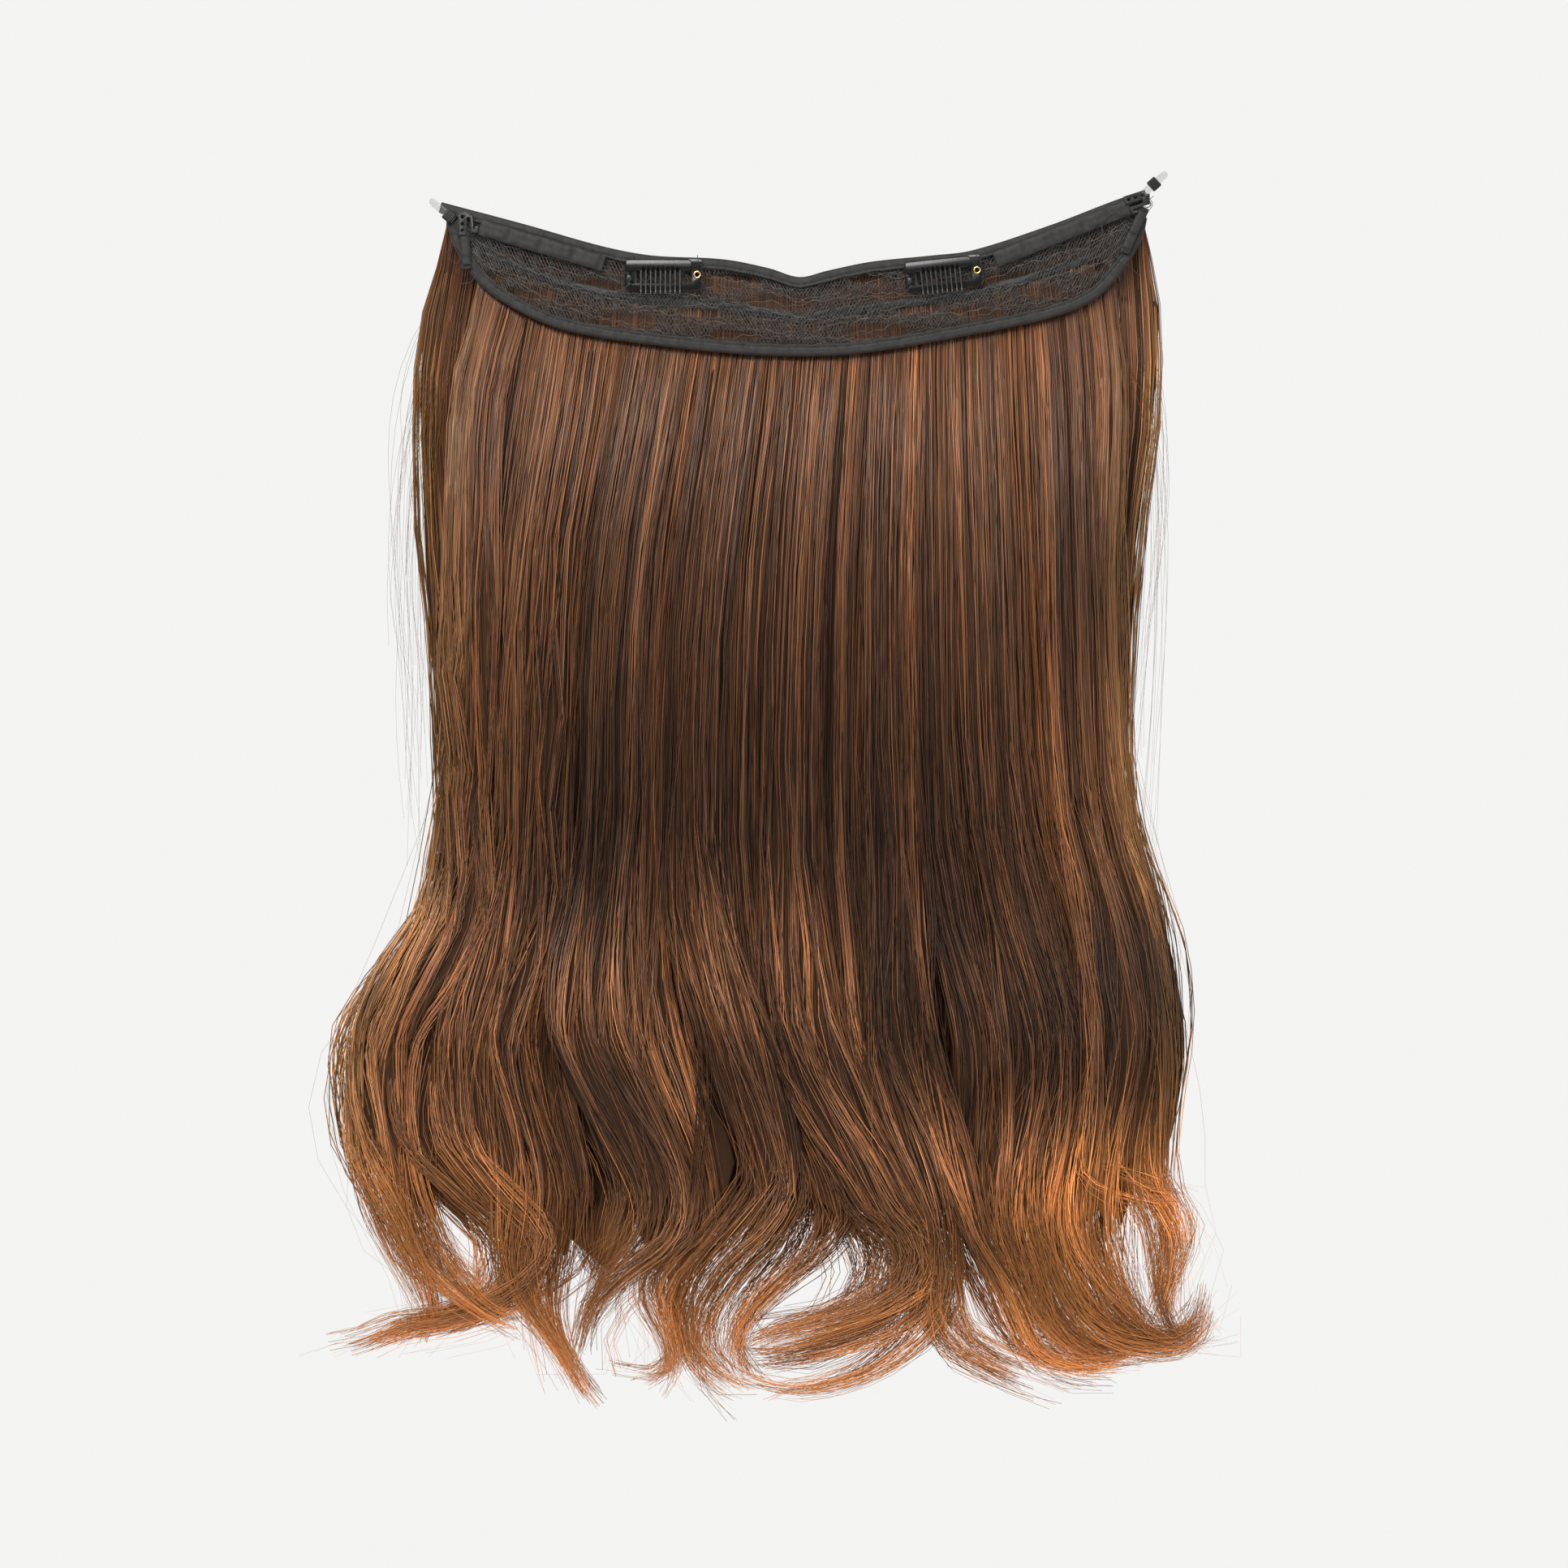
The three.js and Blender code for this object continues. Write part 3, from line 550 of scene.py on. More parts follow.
def add_node(material: Material, kind: str, **values: object) -> Node:
    """A new node of a kind, with its inputs set by name.

    Args:
        material: the finish that the node goes into.
        kind: the kind of node.
        values: values of its inputs by name.

    Returns:
        The new node.
    """
    node = material.node_tree.nodes.new(kind)
    set_inputs(node, **values)
    return node


def cloud_roughness(material: Material, shader: Node, scale: float, limits: Pair) -> None:
    """Links a shader's roughness to soft noise between two limits.

    Args:
        material: the finish that the shader is in.
        shader: its Principled shader.
        scale: how many clouds of noise there are to a metre.
        limits: the lowest and the highest roughness.
    """
    links = material.node_tree.links
    place = material.node_tree.nodes.new("ShaderNodeTexCoord")
    cloud = add_node(material, "ShaderNodeTexNoise", Scale=scale, Detail=3.0)
    links.new(place.outputs["Object"], cloud.inputs["Vector"])
    spread = add_node(material, "ShaderNodeMapRange", To_Min=limits[0], To_Max=limits[1])
    links.new(cloud.outputs["Fac"], spread.inputs["Value"])
    links.new(spread.outputs["Result"], shader.inputs["Roughness"])


@dataclass(frozen=True)
class HairFinish:
    """Satin fibre whose colour is stored on the strands' corners."""

    name: str
    roughness: float
    specular: float

    ATTRIBUTE = "tone"

    def material(self) -> Material:
        """The finish as a material that reads the stored colour.

        Returns:
            The new material.
        """
        material, shader = blank_material(self.name)
        tone = material.node_tree.nodes.new("ShaderNodeAttribute")
        tone.attribute_name = self.ATTRIBUTE
        material.node_tree.links.new(tone.outputs["Color"], shader.inputs["Base Color"])
        set_inputs(shader, Roughness=self.roughness, Specular_IOR_Level=self.specular)
        return material


@dataclass(frozen=True)
class ClothFinish:
    """Black cloth: mottled colour, a fine weave in relief and a soft sheen."""

    name: str
    dark: Triple
    light: Triple
    roughness: float
    thread_mm: float
    relief_mm: float
    sheen: float

    # Clouds of colour to a metre, and the shares of them that are all dark and all light
    MOTTLE_SCALE = 420.0
    MOTTLE_LIMITS = (0.3, 0.72)
    # A wave texture multiplies its scaled coordinates by this
    WAVE_FACTOR = 20

    def material(self) -> Material:
        """The finish as a material: noise for the colour, crossed waves on the chart for the weave.

        Returns:
            The new material.
        """
        material, shader = blank_material(self.name)
        links = material.node_tree.links
        place = material.node_tree.nodes.new("ShaderNodeTexCoord")
        mottle = add_node(material, "ShaderNodeTexNoise", Scale=self.MOTTLE_SCALE, Detail=4.0)
        set_inputs(mottle, Roughness=0.65)
        links.new(place.outputs["Object"], mottle.inputs["Vector"])
        ramp = material.node_tree.nodes.new("ShaderNodeValToRGB")
        colours = (self.dark, self.light)
        for stop, position, colour in zip(ramp.color_ramp.elements, self.MOTTLE_LIMITS, colours):
            stop.position = position
            stop.color = (*colour, 1)
        links.new(mottle.outputs["Fac"], ramp.inputs["Fac"])
        links.new(ramp.outputs["Color"], shader.inputs["Base Color"])
        bands = 1 / (self.thread_mm * MM) / self.WAVE_FACTOR
        heights = []
        for direction in ("X", "Y"):
            wave = add_node(material, "ShaderNodeTexWave", Scale=bands, Distortion=0.6)
            wave.bands_direction = direction
            links.new(place.outputs["UV"], wave.inputs["Vector"])
            heights.append(wave.outputs["Fac"])
        weave = material.node_tree.nodes.new("ShaderNodeMath")
        weave.operation = "ADD"
        links.new(heights[0], weave.inputs[0])
        links.new(heights[1], weave.inputs[1])
        relief = add_node(material, "ShaderNodeBump", Strength=0.7, Distance=self.relief_mm * MM)
        links.new(weave.outputs["Value"], relief.inputs["Height"])
        links.new(relief.outputs["Normal"], shader.inputs["Normal"])
        set_inputs(shader, Roughness=self.roughness, Specular_IOR_Level=0.3)
        set_inputs(shader, Sheen_Weight=self.sheen, Sheen_Roughness=0.5)
        return material


@dataclass(frozen=True)
class MetalFinish:
    """Painted or bare metal with a little unevenness in its gloss."""

    name: str
    colour: Triple
    metallic: float
    gloss: Pair
    specular: float

    # Clouds of gloss to a metre
    CLOUDS = 700.0

    def material(self) -> Material:
        """The finish as a material: noise between two roughnesses.

        Returns:
            The new material.
        """
        material, shader = blank_material(self.name)
        cloud_roughness(material, shader, self.CLOUDS, self.gloss)
        set_inputs(shader, Base_Color=(*self.colour, 1), Metallic=self.metallic)
        set_inputs(shader, Specular_IOR_Level=self.specular)
        return material


@dataclass(frozen=True)
class ClearFinish:
    """Clear flat plastic."""

    name: str
    tint: Triple
    haze: Pair

    # Clouds of haze to a metre, how much light goes through, how far it bends, and how solid the strip is
    CLOUDS = 900.0
    THROUGH = 0.9
    BENDING = 1.25
    ALPHA = 0.3

    def material(self) -> Material:
        """The finish as a material that lets light through, with noise between two roughnesses.

        Returns:
            The new material.
        """
        material, shader = blank_material(self.name)
        cloud_roughness(material, shader, self.CLOUDS, self.haze)
        set_inputs(shader, Base_Color=(*self.tint, 1), Alpha=self.ALPHA)
        set_inputs(shader, Transmission_Weight=self.THROUGH, IOR=self.BENDING)
        return material


@dataclass
class Finishes:
    """Every finish of the object, made once."""

    hair: Material = field(default_factory=HairFinish("satin_hair", roughness=0.32, specular=0.4).material)
    # The lock bodies' finish; their stored colours carry painted shade
    shaded_inner_hair: Material = field(default_factory=HairFinish(
        "shaded_inner_hair", roughness=0.7, specular=0.1).material)
    lace: Material = field(default_factory=ClothFinish(
        "lace_thread", dark=(0.034, 0.033, 0.031), light=(0.135, 0.131, 0.124),
        roughness=0.7, thread_mm=0.3, relief_mm=0.02, sheen=0.15).material)
    ribbon: Material = field(default_factory=ClothFinish(
        "black_ribbon", dark=(0.009, 0.0088, 0.008), light=(0.024, 0.0235, 0.0215),
        roughness=0.62, thread_mm=0.5, relief_mm=0.05, sheen=0.1).material)
    thread: Material = field(default_factory=ClothFinish(
        "sewing_thread", dark=(0.012, 0.012, 0.013), light=(0.04, 0.04, 0.042),
        roughness=0.55, thread_mm=0.3, relief_mm=0.02, sheen=0.1).material)
    paint: Material = field(default_factory=MetalFinish(
        "black_paint", (0.0035, 0.0035, 0.004), metallic=0.0, gloss=(0.2, 0.3), specular=0.4).material)
    sleeve: Material = field(default_factory=MetalFinish(
        "black_sleeve", (0.01, 0.01, 0.011), metallic=0.0, gloss=(0.35, 0.55), specular=0.35).material)
    brass: Material = field(default_factory=MetalFinish(
        "bright_brass", (0.83, 0.56, 0.2), metallic=1.0, gloss=(0.16, 0.3), specular=0.5).material)
    clear: Material = field(default_factory=ClearFinish(
        "clear_plastic", (0.95, 0.96, 0.96), haze=(0.08, 0.2)).material)


# The band


@dataclass(frozen=True)
class BandEdge:
    """One edge of the band: a smooth line in x and z.

    Attributes:
        rows: points of the line, in millimetres.
        into: 1 if the lace lies to the left of the line's direction, and -1 if it lies to the right.
    """

    rows: tuple[Pair, ...]
    into: int

    # Points of the line before any of them are left out
    POINTS = 1200

    def line(self, count: int, inset: float = 0.0) -> tuple[Array, Array]:
        """Evenly spaced points along the edge and the unit direction into the lace at each.

        Args:
            count: how many points.
            inset: length left out at both ends, in metres.

        Returns:
            Points and directions, each count by 3.
        """
        flat = smooth_line(self.rows, self.POINTS) * MM
        kept = flat[(flat[:, 0] > flat[0, 0] + inset) & (flat[:, 0] < flat[-1, 0] - inset)]
        flat = evenly_spaced(kept if inset else flat, count)
        points = np.stack([flat[:, 0], np.zeros(count), flat[:, 1]], axis=1)
        tangent = unit(np.gradient(points, axis=0))
        inward = np.stack([-tangent[:, 2], np.zeros(count), tangent[:, 0]], axis=1) * self.into
        return points, inward

    def height(self, x: Array) -> Array:
        """Height of the edge at x, in metres."""
        flat = smooth_line(self.rows, self.POINTS) * MM
        return np.interp(x, flat[:, 0], flat[:, 1])


TOP_EDGE = BandEdge(TOP_EDGE_ROWS, -1)
BOTTOM_EDGE = BandEdge(BOTTOM_EDGE_ROWS, 1)


def stitch_row(points: Array, outward: Array, pitch: float, length: float, radius: float) -> Surface:
    """A row of stitches: short tubes that rise from the cloth and go back into it.

    A stitch's height over the cloth is a half wave along its length.

    Args:
        points: the seam's line, n by 3.
        outward: unit direction out of the cloth.
        pitch: distance from one stitch to the next.
        length: length of a stitch.
        radius: radius of the thread.

    Returns:
        All the stitches as one surface.
    """
    distance = travelled(points)
    starts = np.arange(pitch / 2, distance[-1] - length, pitch)
    share = np.linspace(0, 1, 5)
    wanted = starts[:, None] + share[None, :] * length
    paths = np.stack([np.interp(wanted, distance, column) for column in points.T], axis=-1)
    rise = np.sin(share * math.pi) * radius * 1.1 - radius * 0.5
    paths = paths + rise[None, :, None] * outward
    radii = np.broadcast_to(radius * (0.55 + 0.45 * np.sin(share * math.pi)), wanted.shape)
    return tubes(paths, radii, 5)


@dataclass
class Binding:
    """A ribbon folded round one edge of the lace, with its seam.

    Attributes:
        name: the piece's name, and that of the solid it replaces.
        edge: the edge it is folded round.
        width: how far it reaches over the lace.
        ends: length of the edge left bare at each end.
        gathers: gathered stretches: x of the middle, reach and strength, in millimetres.
        front: y of its front.
        back: y of its back.
        wall: thickness of the ribbon.
        seam_share: how far over the lace the seam lies, as a share of the width.
        stations: sections along it.
    """

    name: str
    edge: BandEdge
    width: float
    ends: float
    gathers: tuple[Triple, ...]
    front: float = -1.3 * MM
    back: float = 2.3 * MM
    wall: float = 0.8 * MM
    seam_share: float = 0.74
    stations: int = 260

    # How far the fold bulges, as a share of its half depth
    FOLD = 0.6
    # Distance from one stitch to the next, its length and the thread's radius
    STITCH = (2.3 * MM, 1.8 * MM, 0.16 * MM)

    def profile(self) -> Array:
        """The folded section: front leg, round fold, back leg, and back inside the fold.

        Returns:
            Distance into the lace and depth of its points, n by 2.
        """
        half = (self.back - self.front) / 2
        middle = (self.back + self.front) / 2
        bend = np.linspace(-math.pi / 2, math.pi / 2, 9)
        outer_fold = np.stack([half * self.FOLD * (1 - np.cos(bend)), middle + half * np.sin(bend)], axis=1)
        inner = half - self.wall
        inner_reach = self.wall + inner * self.FOLD * (1 - np.cos(bend))
        inner_fold = np.stack([inner_reach, middle + inner * np.sin(bend)], axis=1)
        legs = np.linspace(self.width, half * 0.9, 10)
        front_leg = np.stack([legs, np.full_like(legs, self.front)], axis=1)
        back_leg = np.stack([legs[::-1], np.full_like(legs, self.back)], axis=1)
        inner_legs = np.linspace(self.width, half, 4)
        inner_back = np.stack([inner_legs, np.full_like(inner_legs, self.back - self.wall)], axis=1)
        inner_front = np.stack([inner_legs[::-1], np.full_like(inner_legs, self.front + self.wall)], axis=1)
        return np.concatenate([front_leg, outer_fold, back_leg, inner_back, inner_fold[::-1], inner_front])

    def build(self, finishes: Finishes) -> None:
        """Makes the ribbon and its stitches.

        Args:
            finishes: the object's finishes.
        """
        points, inward = self.edge.line(self.stations, self.ends)
        profile = self.profile()
        into = np.broadcast_to(profile[None, :, 0], (self.stations, len(profile))).copy()
        depth = np.broadcast_to(profile[None, :, 1], (self.stations, len(profile))).copy()
        x = points[:, 0:1] / MM
        crease = 0.08 * np.sin(x * 0.9) + 0.06 * np.sin(x * 2.3 + 1.0)
        for place, reach, strength in self.gathers:
            crease = crease + strength * np.exp(-(((x - place) / reach) ** 2)) * np.sin(x * 2.6)
        facing = np.where(profile[:, 1] < 0, -1.0, 1.0)[None, :]
        share = np.clip(profile[None, :, 0] / self.width, 0, 1)
        depth += facing * crease * MM * np.sin(share * math.pi)
        groove = np.exp(-(((share - self.seam_share) / 0.07) ** 2)) * 0.22 * MM
        depth -= facing * groove * (np.abs(profile[None, :, 1]) > 0.8 * MM)
        into += 0.12 * MM * np.sin(x * 0.55 + 2) * share
        rings = points[:, None] + inward[:, None] * into[..., None]
        rings[..., 1] = depth
        ribbon = make_object(self.name + "_ribbon", skin(rings), finishes.ribbon)
        settle(ribbon, (self.name,))
        seams = []
        for side, level in ((-1, self.front), (1, self.back)):
            line = points + inward * self.width * self.seam_share
            line[:, 1] = level - side * 0.12 * MM
            seams.append(stitch_row(line, np.array([0.0, side, 0.0]), *self.STITCH))
        settle(make_object(self.name + "_stitches", joined(seams), finishes.thread))


@dataclass
class Lace:
    """The open lace crescent: two layers of net with thin patches in it, and fine wavy cords.

    A net's thread runs along the band as a zigzag, and the tips of neighbouring threads meet.

    Attributes:
        margin: how far the net stays from the band's edges.
        left: x of its left end.
        right: x of its right end.
        area: its area, in square metres; not used.
        flat: length and height of the cloth it is cut from; not used.
        patches: x, z and half length of the thin patches, in millimetres.
    """

    margin: float = 2.4 * MM
    left: float = -138 * MM
    right: float = 135 * MM
    area: float = 0.0092
    flat: Pair = (0.279, 0.064)
    patches: tuple[Triple, ...] = (
        (-120, 15.5, 9), (-107, 8, 14), (-80, 11.5, 13), (-69, -2, 15), (-39, 0.5, 10), (-28, 13.5, 15),
        (-27, -8, 12), (-8, 5, 16), (27, 14.5, 9), (35, 8, 11), (31, -6.5, 16), (47, 3, 10), (70, 1, 12),
        (83, 14.5, 14), (95, 9.5, 10), (113, 19.5, 11),
    )

    def height(self, x: Array, share: Array) -> Array:
        """Height over x of a line that lies at a share of the way from the bottom ribbon to the top one.

        Args:
            x: places along the band, in metres.
            share: 0 at the bottom ribbon and 1 at the top one.

        Returns:
            Heights, in metres.
        """
        low = BOTTOM_EDGE.height(x) + self.margin
        high = TOP_EDGE.height(x) - self.margin
        return low + share * np.maximum(high - low, 0.5 * MM)

    def openness(self, x: Array, z: Array) -> Array:
        """How thin the lace is: each patch is an ellipse, 1 in its middle and 0 at its rim.

        Args:
            x: places along the band, in metres.
            z: heights, in metres.

        Returns:
            Openness from 0 to 1, in the shape of z.
        """
        spots = np.array(self.patches) * MM
        across = (x[..., None] - spots[:, 0]) / spots[:, 2]
        up = (z[..., None] - spots[:, 1]) / (spots[:, 2] * 0.24)
        return smoothstep(0, 0.5, np.max(1 - across**2 - up**2, axis=-1))

    def net(self, rows: int, pitch: float, radius: float, depth: float, thinning: float) -> Surface:
        """One layer of net.

        Args:
            rows: how many threads lie over each other.
            pitch: length of one zigzag.
            radius: radius of the thread.
            depth: y of the layer's middle.
            thinning: share of the thread's radius that is lost in the thin patches.

        Returns:
            The threads as one surface.
        """
        count = int((self.right - self.left) / pitch) * 2
        x = np.linspace(self.left, self.right, count)[None, :]
        row = np.arange(rows)[:, None]
        zigzag = np.where((np.arange(count)[None, :] + row) % 2 == 0, 0.5, -0.5)
        warp = 0.35 * np.sin(x / MM * 0.11 + row * 0.7)
        share = (row + 0.5 + 0.93 * zigzag + warp) / rows
        y = depth + 0.12 * MM * np.sin(x / MM * 0.37 + row)
        x, y, z = np.broadcast_arrays(x, y, self.height(x, np.clip(share, 0, 1)))
        return tubes(np.stack([x, y, z], axis=-1), radius * (1 - thinning * self.openness(x, z)), 3)

    def cords(self, lines: int) -> Surface:
        """Fine wavy cords along the band: the share of the way up is a slow wave of x with quick ones on it.

        Args:
            lines: how many cords.

        Returns:
            The cords as one surface.
        """
        x = np.linspace(self.left + 4 * MM, self.right - 4 * MM, 240)[None, :]
        line = np.arange(lines)[:, None]
        slow = 0.055 * np.sin(x / MM * 0.075 + line * 1.9)
        quick = 0.02 * np.sin(x / MM * (0.42 + 0.05 * np.sin(line * 5.1)) + line * 2.7)
        quick = quick + 0.014 * np.sin(x / MM * (0.97 + 0.2 * np.sin(line * 3.3)) + line * 4.1)
        share = np.clip((line + 0.6) / lines + slow + quick, 0.02, 0.98)
        paths = np.stack(np.broadcast_arrays(x, np.full_like(x, -0.15 * MM), self.height(x, share)), axis=-1)
        return tubes(paths, np.full(paths.shape[:2], 0.14 * MM), 3)

    def build(self, finishes: Finishes) -> None:
        """Args:
            finishes: the object's finishes.
        """
        front = self.net(26, 1.3 * MM, 0.2 * MM, 0.1 * MM, 0.6)
        behind = self.net(19, 1.7 * MM, 0.31 * MM, 0.75 * MM, 0.97)
        lace = make_object("lace_net", joined([front, behind, self.cords(12)]), finishes.lace)
        settle(lace, ("lace_band",))


@dataclass
class Tape:
    """A short ribbon sewn on the scalp side, puffed between its cross seams.

    Attributes:
        name: the solid it replaces.
        start: x and z of one end of its middle line.
        end: x and z of the other end.
        width: its width.
        seams: shares of its length where it is sewn down across.
        fold: True if its first end is folded under, and so thicker.
        front: y of its front where it is sewn down.
        back: y of its back.
        puff: how far it stands out between the seams.
    """

    name: str
    start: Pair
    end: Pair
    width: float
    seams: tuple[float, ...]
    fold: bool = False
    front: float = -2.5 * MM
    back: float = -1.62 * MM
    puff: float = 0.6 * MM

    # Distance from one stitch to the next, its length and the thread's radius
    STITCH = (1.5 * MM, 1.2 * MM, 0.15 * MM)

    def build(self, finishes: Finishes) -> None:
        """Makes the tape and its cross seams.

        Args:
            finishes: the object's finishes.
        """
        first = np.array([self.start[0], 0.0, self.start[1]]) * MM
        last = np.array([self.end[0], 0.0, self.end[1]]) * MM
        along = unit(last - first)
        across = np.array([-along[2], 0.0, along[0]])
        share = np.linspace(0, 1, 64)
        nearest = np.min(np.abs(share[:, None] - np.array(self.seams)[None, :]), axis=1)
        lift = self.puff * smoothstep(0.004, 0.05, nearest)
        if self.fold:
            lift = lift + 0.35 * MM * (1 - smoothstep(0.05, 0.09, share))
        edge = np.linspace(-1, 1, 13)
        wobble = 1 + 0.015 * np.sin(share * 41)
        crown = 1 - edge**4
        front = self.front - lift[:, None] * crown[None, :]
        back = np.full_like(front, self.back)
        sideways = edge[None, :] * self.width / 2 * wobble[:, None]
        loop = np.concatenate([sideways, sideways[:, ::-1]], axis=1)
        depth = np.concatenate([front, back[:, ::-1]], axis=1)
        middle = first + (last - first) * share[:, None]
        rings = middle[:, None] + across * loop[..., None]
        rings[..., 1] = depth
        tape = make_object(self.name + "_ribbon", skin(rings), finishes.ribbon)
        settle(tape, (self.name,))
        rows = []
        for seam in self.seams:
            line = first + (last - first) * seam + across * np.linspace(-0.5, 0.5, 9)[:, None] * self.width
            line[:, 1] = self.front
            rows.append(stitch_row(line, np.array([0.0, -1.0, 0.0]), *self.STITCH))
        settle(make_object(self.name + "_stitches", joined(rows), finishes.thread))


# Clips and small fittings


@dataclass
class SnapClip:
    """One snap clip: a sewn frame, a comb that swings with its own body, and a brass eyelet.

    Sizes are in the clip's own frame, from the middle of its top: x along it and z up.

    Attributes:
        side: which clip.
        comb_left: x of the comb's left end.
        comb_right: x of its right end.
        bar: height of the comb's plate over the teeth.
        steel: thickness of the comb.
        comb_front: y of its front.
        teeth: how many teeth.
        first_tooth: x of the first one.
        pitch: distance from one tooth to the next.
        reach: how far down the teeth go.
        tooth_curl: how far forward their lower ends come.
        eyelet: x and z of the eyelet's middle.
        eyelet_front: y of its front.
    """

    side: Side
    comb_left: float = -14.8 * MM
    comb_right: float = 10.8 * MM
    bar: float = 4.6 * MM
    steel: float = 0.6 * MM
    comb_front: float = -3.1 * MM
    teeth: int = 9
    first_tooth: float = -9 * MM
    pitch: float = 1.92 * MM
    reach: float = 13.8 * MM
    tooth_curl: float = 1.0 * MM
    eyelet: Pair = (13.1 * MM, -6.1 * MM)
    eyelet_front: float = -2.9 * MM

    # Corners of a tooth's section as shares of its half width, round from the left of its flat front
    TOOTH_SECTION = (
        (-0.7, -1), (-0.35, -1), (0.35, -1), (0.7, -1), (1, -0.5),
        (1, 0.5), (0.6, 1), (-0.6, 1), (-1, 0.5), (-1, -0.5),
    )
    # Ends of the sewing threads, in millimetres: x and z at the frame's hole, then in the ribbon
    THREADS = (
        (-12.4, -2.2, -12.0, 1.4), (-13.4, -5.8, -16.8, -5.2), (-12.8, -9.3, -15.8, -11.8),
        (13.6, -2.0, 13.2, 1.5), (14.6, -3.5, 17.0, -2.4), (14.4, -8.6, 16.4, -10.2),
    )

    def to_row(self, points: Array) -> Array:
        """Points of the clip's own frame in the part's frame, from the place and axis of the comb's joint.

        Args:
            points: points in the clip's frame, in metres.

        Returns:
            The same points in the part's frame.
        """
        name = f"{self.side.value}_comb_swing"
        joint = next(joint for joint in frame["joints"] if joint["name"] == name)
        along = -np.array(joint["axis"], float)
        up = np.array([-along[2], 0.0, along[0]])
        corner = np.array(joint["pos_m"], float) * np.array([1.0, 0.0, 1.0])
        deep = np.array([0.0, 1.0, 0.0])
        return corner + points[..., 0:1] * along + points[..., 1:2] * deep + points[..., 2:3] * up

    def tooth_places(self) -> Array:
        """x of each tooth."""
        return self.first_tooth + np.arange(self.teeth) * self.pitch

    def comb_bar(self) -> Surface:
        """The comb's plate: a rounded section carried along x, with a round notch between teeth.

        Returns:
            The plate as a closed surface, in the clip's own frame.
        """
        x = np.linspace(self.comb_left, self.comb_right, 170)
        gap = np.mod(x - self.first_tooth, self.pitch) / self.pitch - 0.5
        inside = (x > self.first_tooth) & (x < self.first_tooth + (self.teeth - 1) * self.pitch)
        notch = np.sqrt(np.clip(1 - (gap / 0.28) ** 2, 0, 1)) * 1.5 * MM * inside
        ends = np.minimum(x - self.comb_left, self.comb_right - x) / (1.6 * MM)
        rounding = 1.0 * MM * (1 - np.sqrt(np.clip(1 - (1 - np.clip(ends, 0, 1)) ** 2, 0, 1)))
        top = -rounding
        low = -self.bar + notch + rounding * 0.5
        turn = np.linspace(0, math.pi, 6)
        radius = self.steel / 2
        middle = self.comb_front + radius
        upper = np.stack([middle - radius * np.cos(turn), radius * np.sin(turn) - radius], axis=1)
        lower = np.stack([middle + radius * np.cos(turn), radius - radius * np.sin(turn)], axis=1)
        bow = 0.25 * MM * np.sin((x - self.comb_left) / (self.comb_right - self.comb_left) * math.pi)
        rows = np.linspace(0, 1, 7)[1:-1]
        front = np.full(5, self.comb_front)
        back = np.full(5, self.comb_front + self.steel)
        depth = np.concatenate([upper[:, 0], back, lower[:, 0], front])
        first = (top - radius)[:, None]
        last = (low + radius)[:, None]
        face = first + (last - first) * rows[None, :]
        heights = np.concatenate([
            top[:, None] + upper[None, :, 1], face,
            low[:, None] + lower[None, :, 1], face[:, ::-1],
        ], axis=1)
        crown = 0.45 * MM * np.clip(1 - ((heights + 2.6 * MM) / (2.6 * MM)) ** 2, 0, 1)
        deep = depth[None, :] - bow[:, None] - crown
        return skin(np.stack(np.broadcast_arrays(x[:, None], deep, heights), axis=-1))

    def comb_teeth(self) -> Surface:
        """The teeth: a section with a flat front and round corners, carried down a taper to a bead.

        Returns:
            All the teeth as one surface, in the clip's own frame.
        """
        share = np.concatenate([np.linspace(0, 0.9, 12), np.linspace(0.92, 1.0, 8)])
        taper = 0.5 - 0.18 * np.clip(share / 0.9, 0, 1)
        bead = 0.56 * np.sqrt(np.clip(1 - ((share - 0.955) / 0.046) ** 2, 0.002, 1))
        radius = np.where(share > 0.91, np.maximum(bead, 0.02), taper) * MM
        z = -2.4 * MM - share * (self.reach - 2.0 * MM)
        bow = 0.2 * MM * np.sin(share * math.pi)
        y = self.comb_front + self.steel / 2 - bow - self.tooth_curl * share**2
        section = np.array(self.TOOTH_SECTION)
        across = radius[:, None] * section[None, :, 0]
        deep = y[:, None] + 0.75 * radius[:, None] * section[None, :, 1]
        made = []
        for place in self.tooth_places():
            rings = np.stack(np.broadcast_arrays(place + across, deep, z[:, None]), axis=-1)
            made.append(skin(rings))
        return joined(made)

    def eyelet_ring(self) -> Surface:
        """The eyelet: a rolled flange turned round its axis, with a barrel behind it.

        Returns:
            The eyelet as a closed surface, in the clip's own frame.
        """
        roll = np.linspace(0, math.pi, 9)
        flange = np.stack([1.2 * MM - 0.35 * MM * np.cos(roll), -0.38 * MM * np.sin(roll)], axis=1)
        barrel = np.array([(1.55, 0.12), (1.15, 0.2), (1.15, 1.2), (0.85, 1.2)]) * MM
        section = np.concatenate([flange, barrel])
        angle = np.linspace(0, 2 * math.pi, 32, endpoint=False)
        x = self.eyelet[0] + section[None, :, 0] * np.cos(angle)[:, None]
        z = self.eyelet[1] + section[None, :, 0] * np.sin(angle)[:, None]
        y = np.broadcast_to(self.eyelet_front + 0.4 * MM + section[None, :, 1], x.shape)
        return skin(np.stack([x, y, z], axis=-1), capped=False)

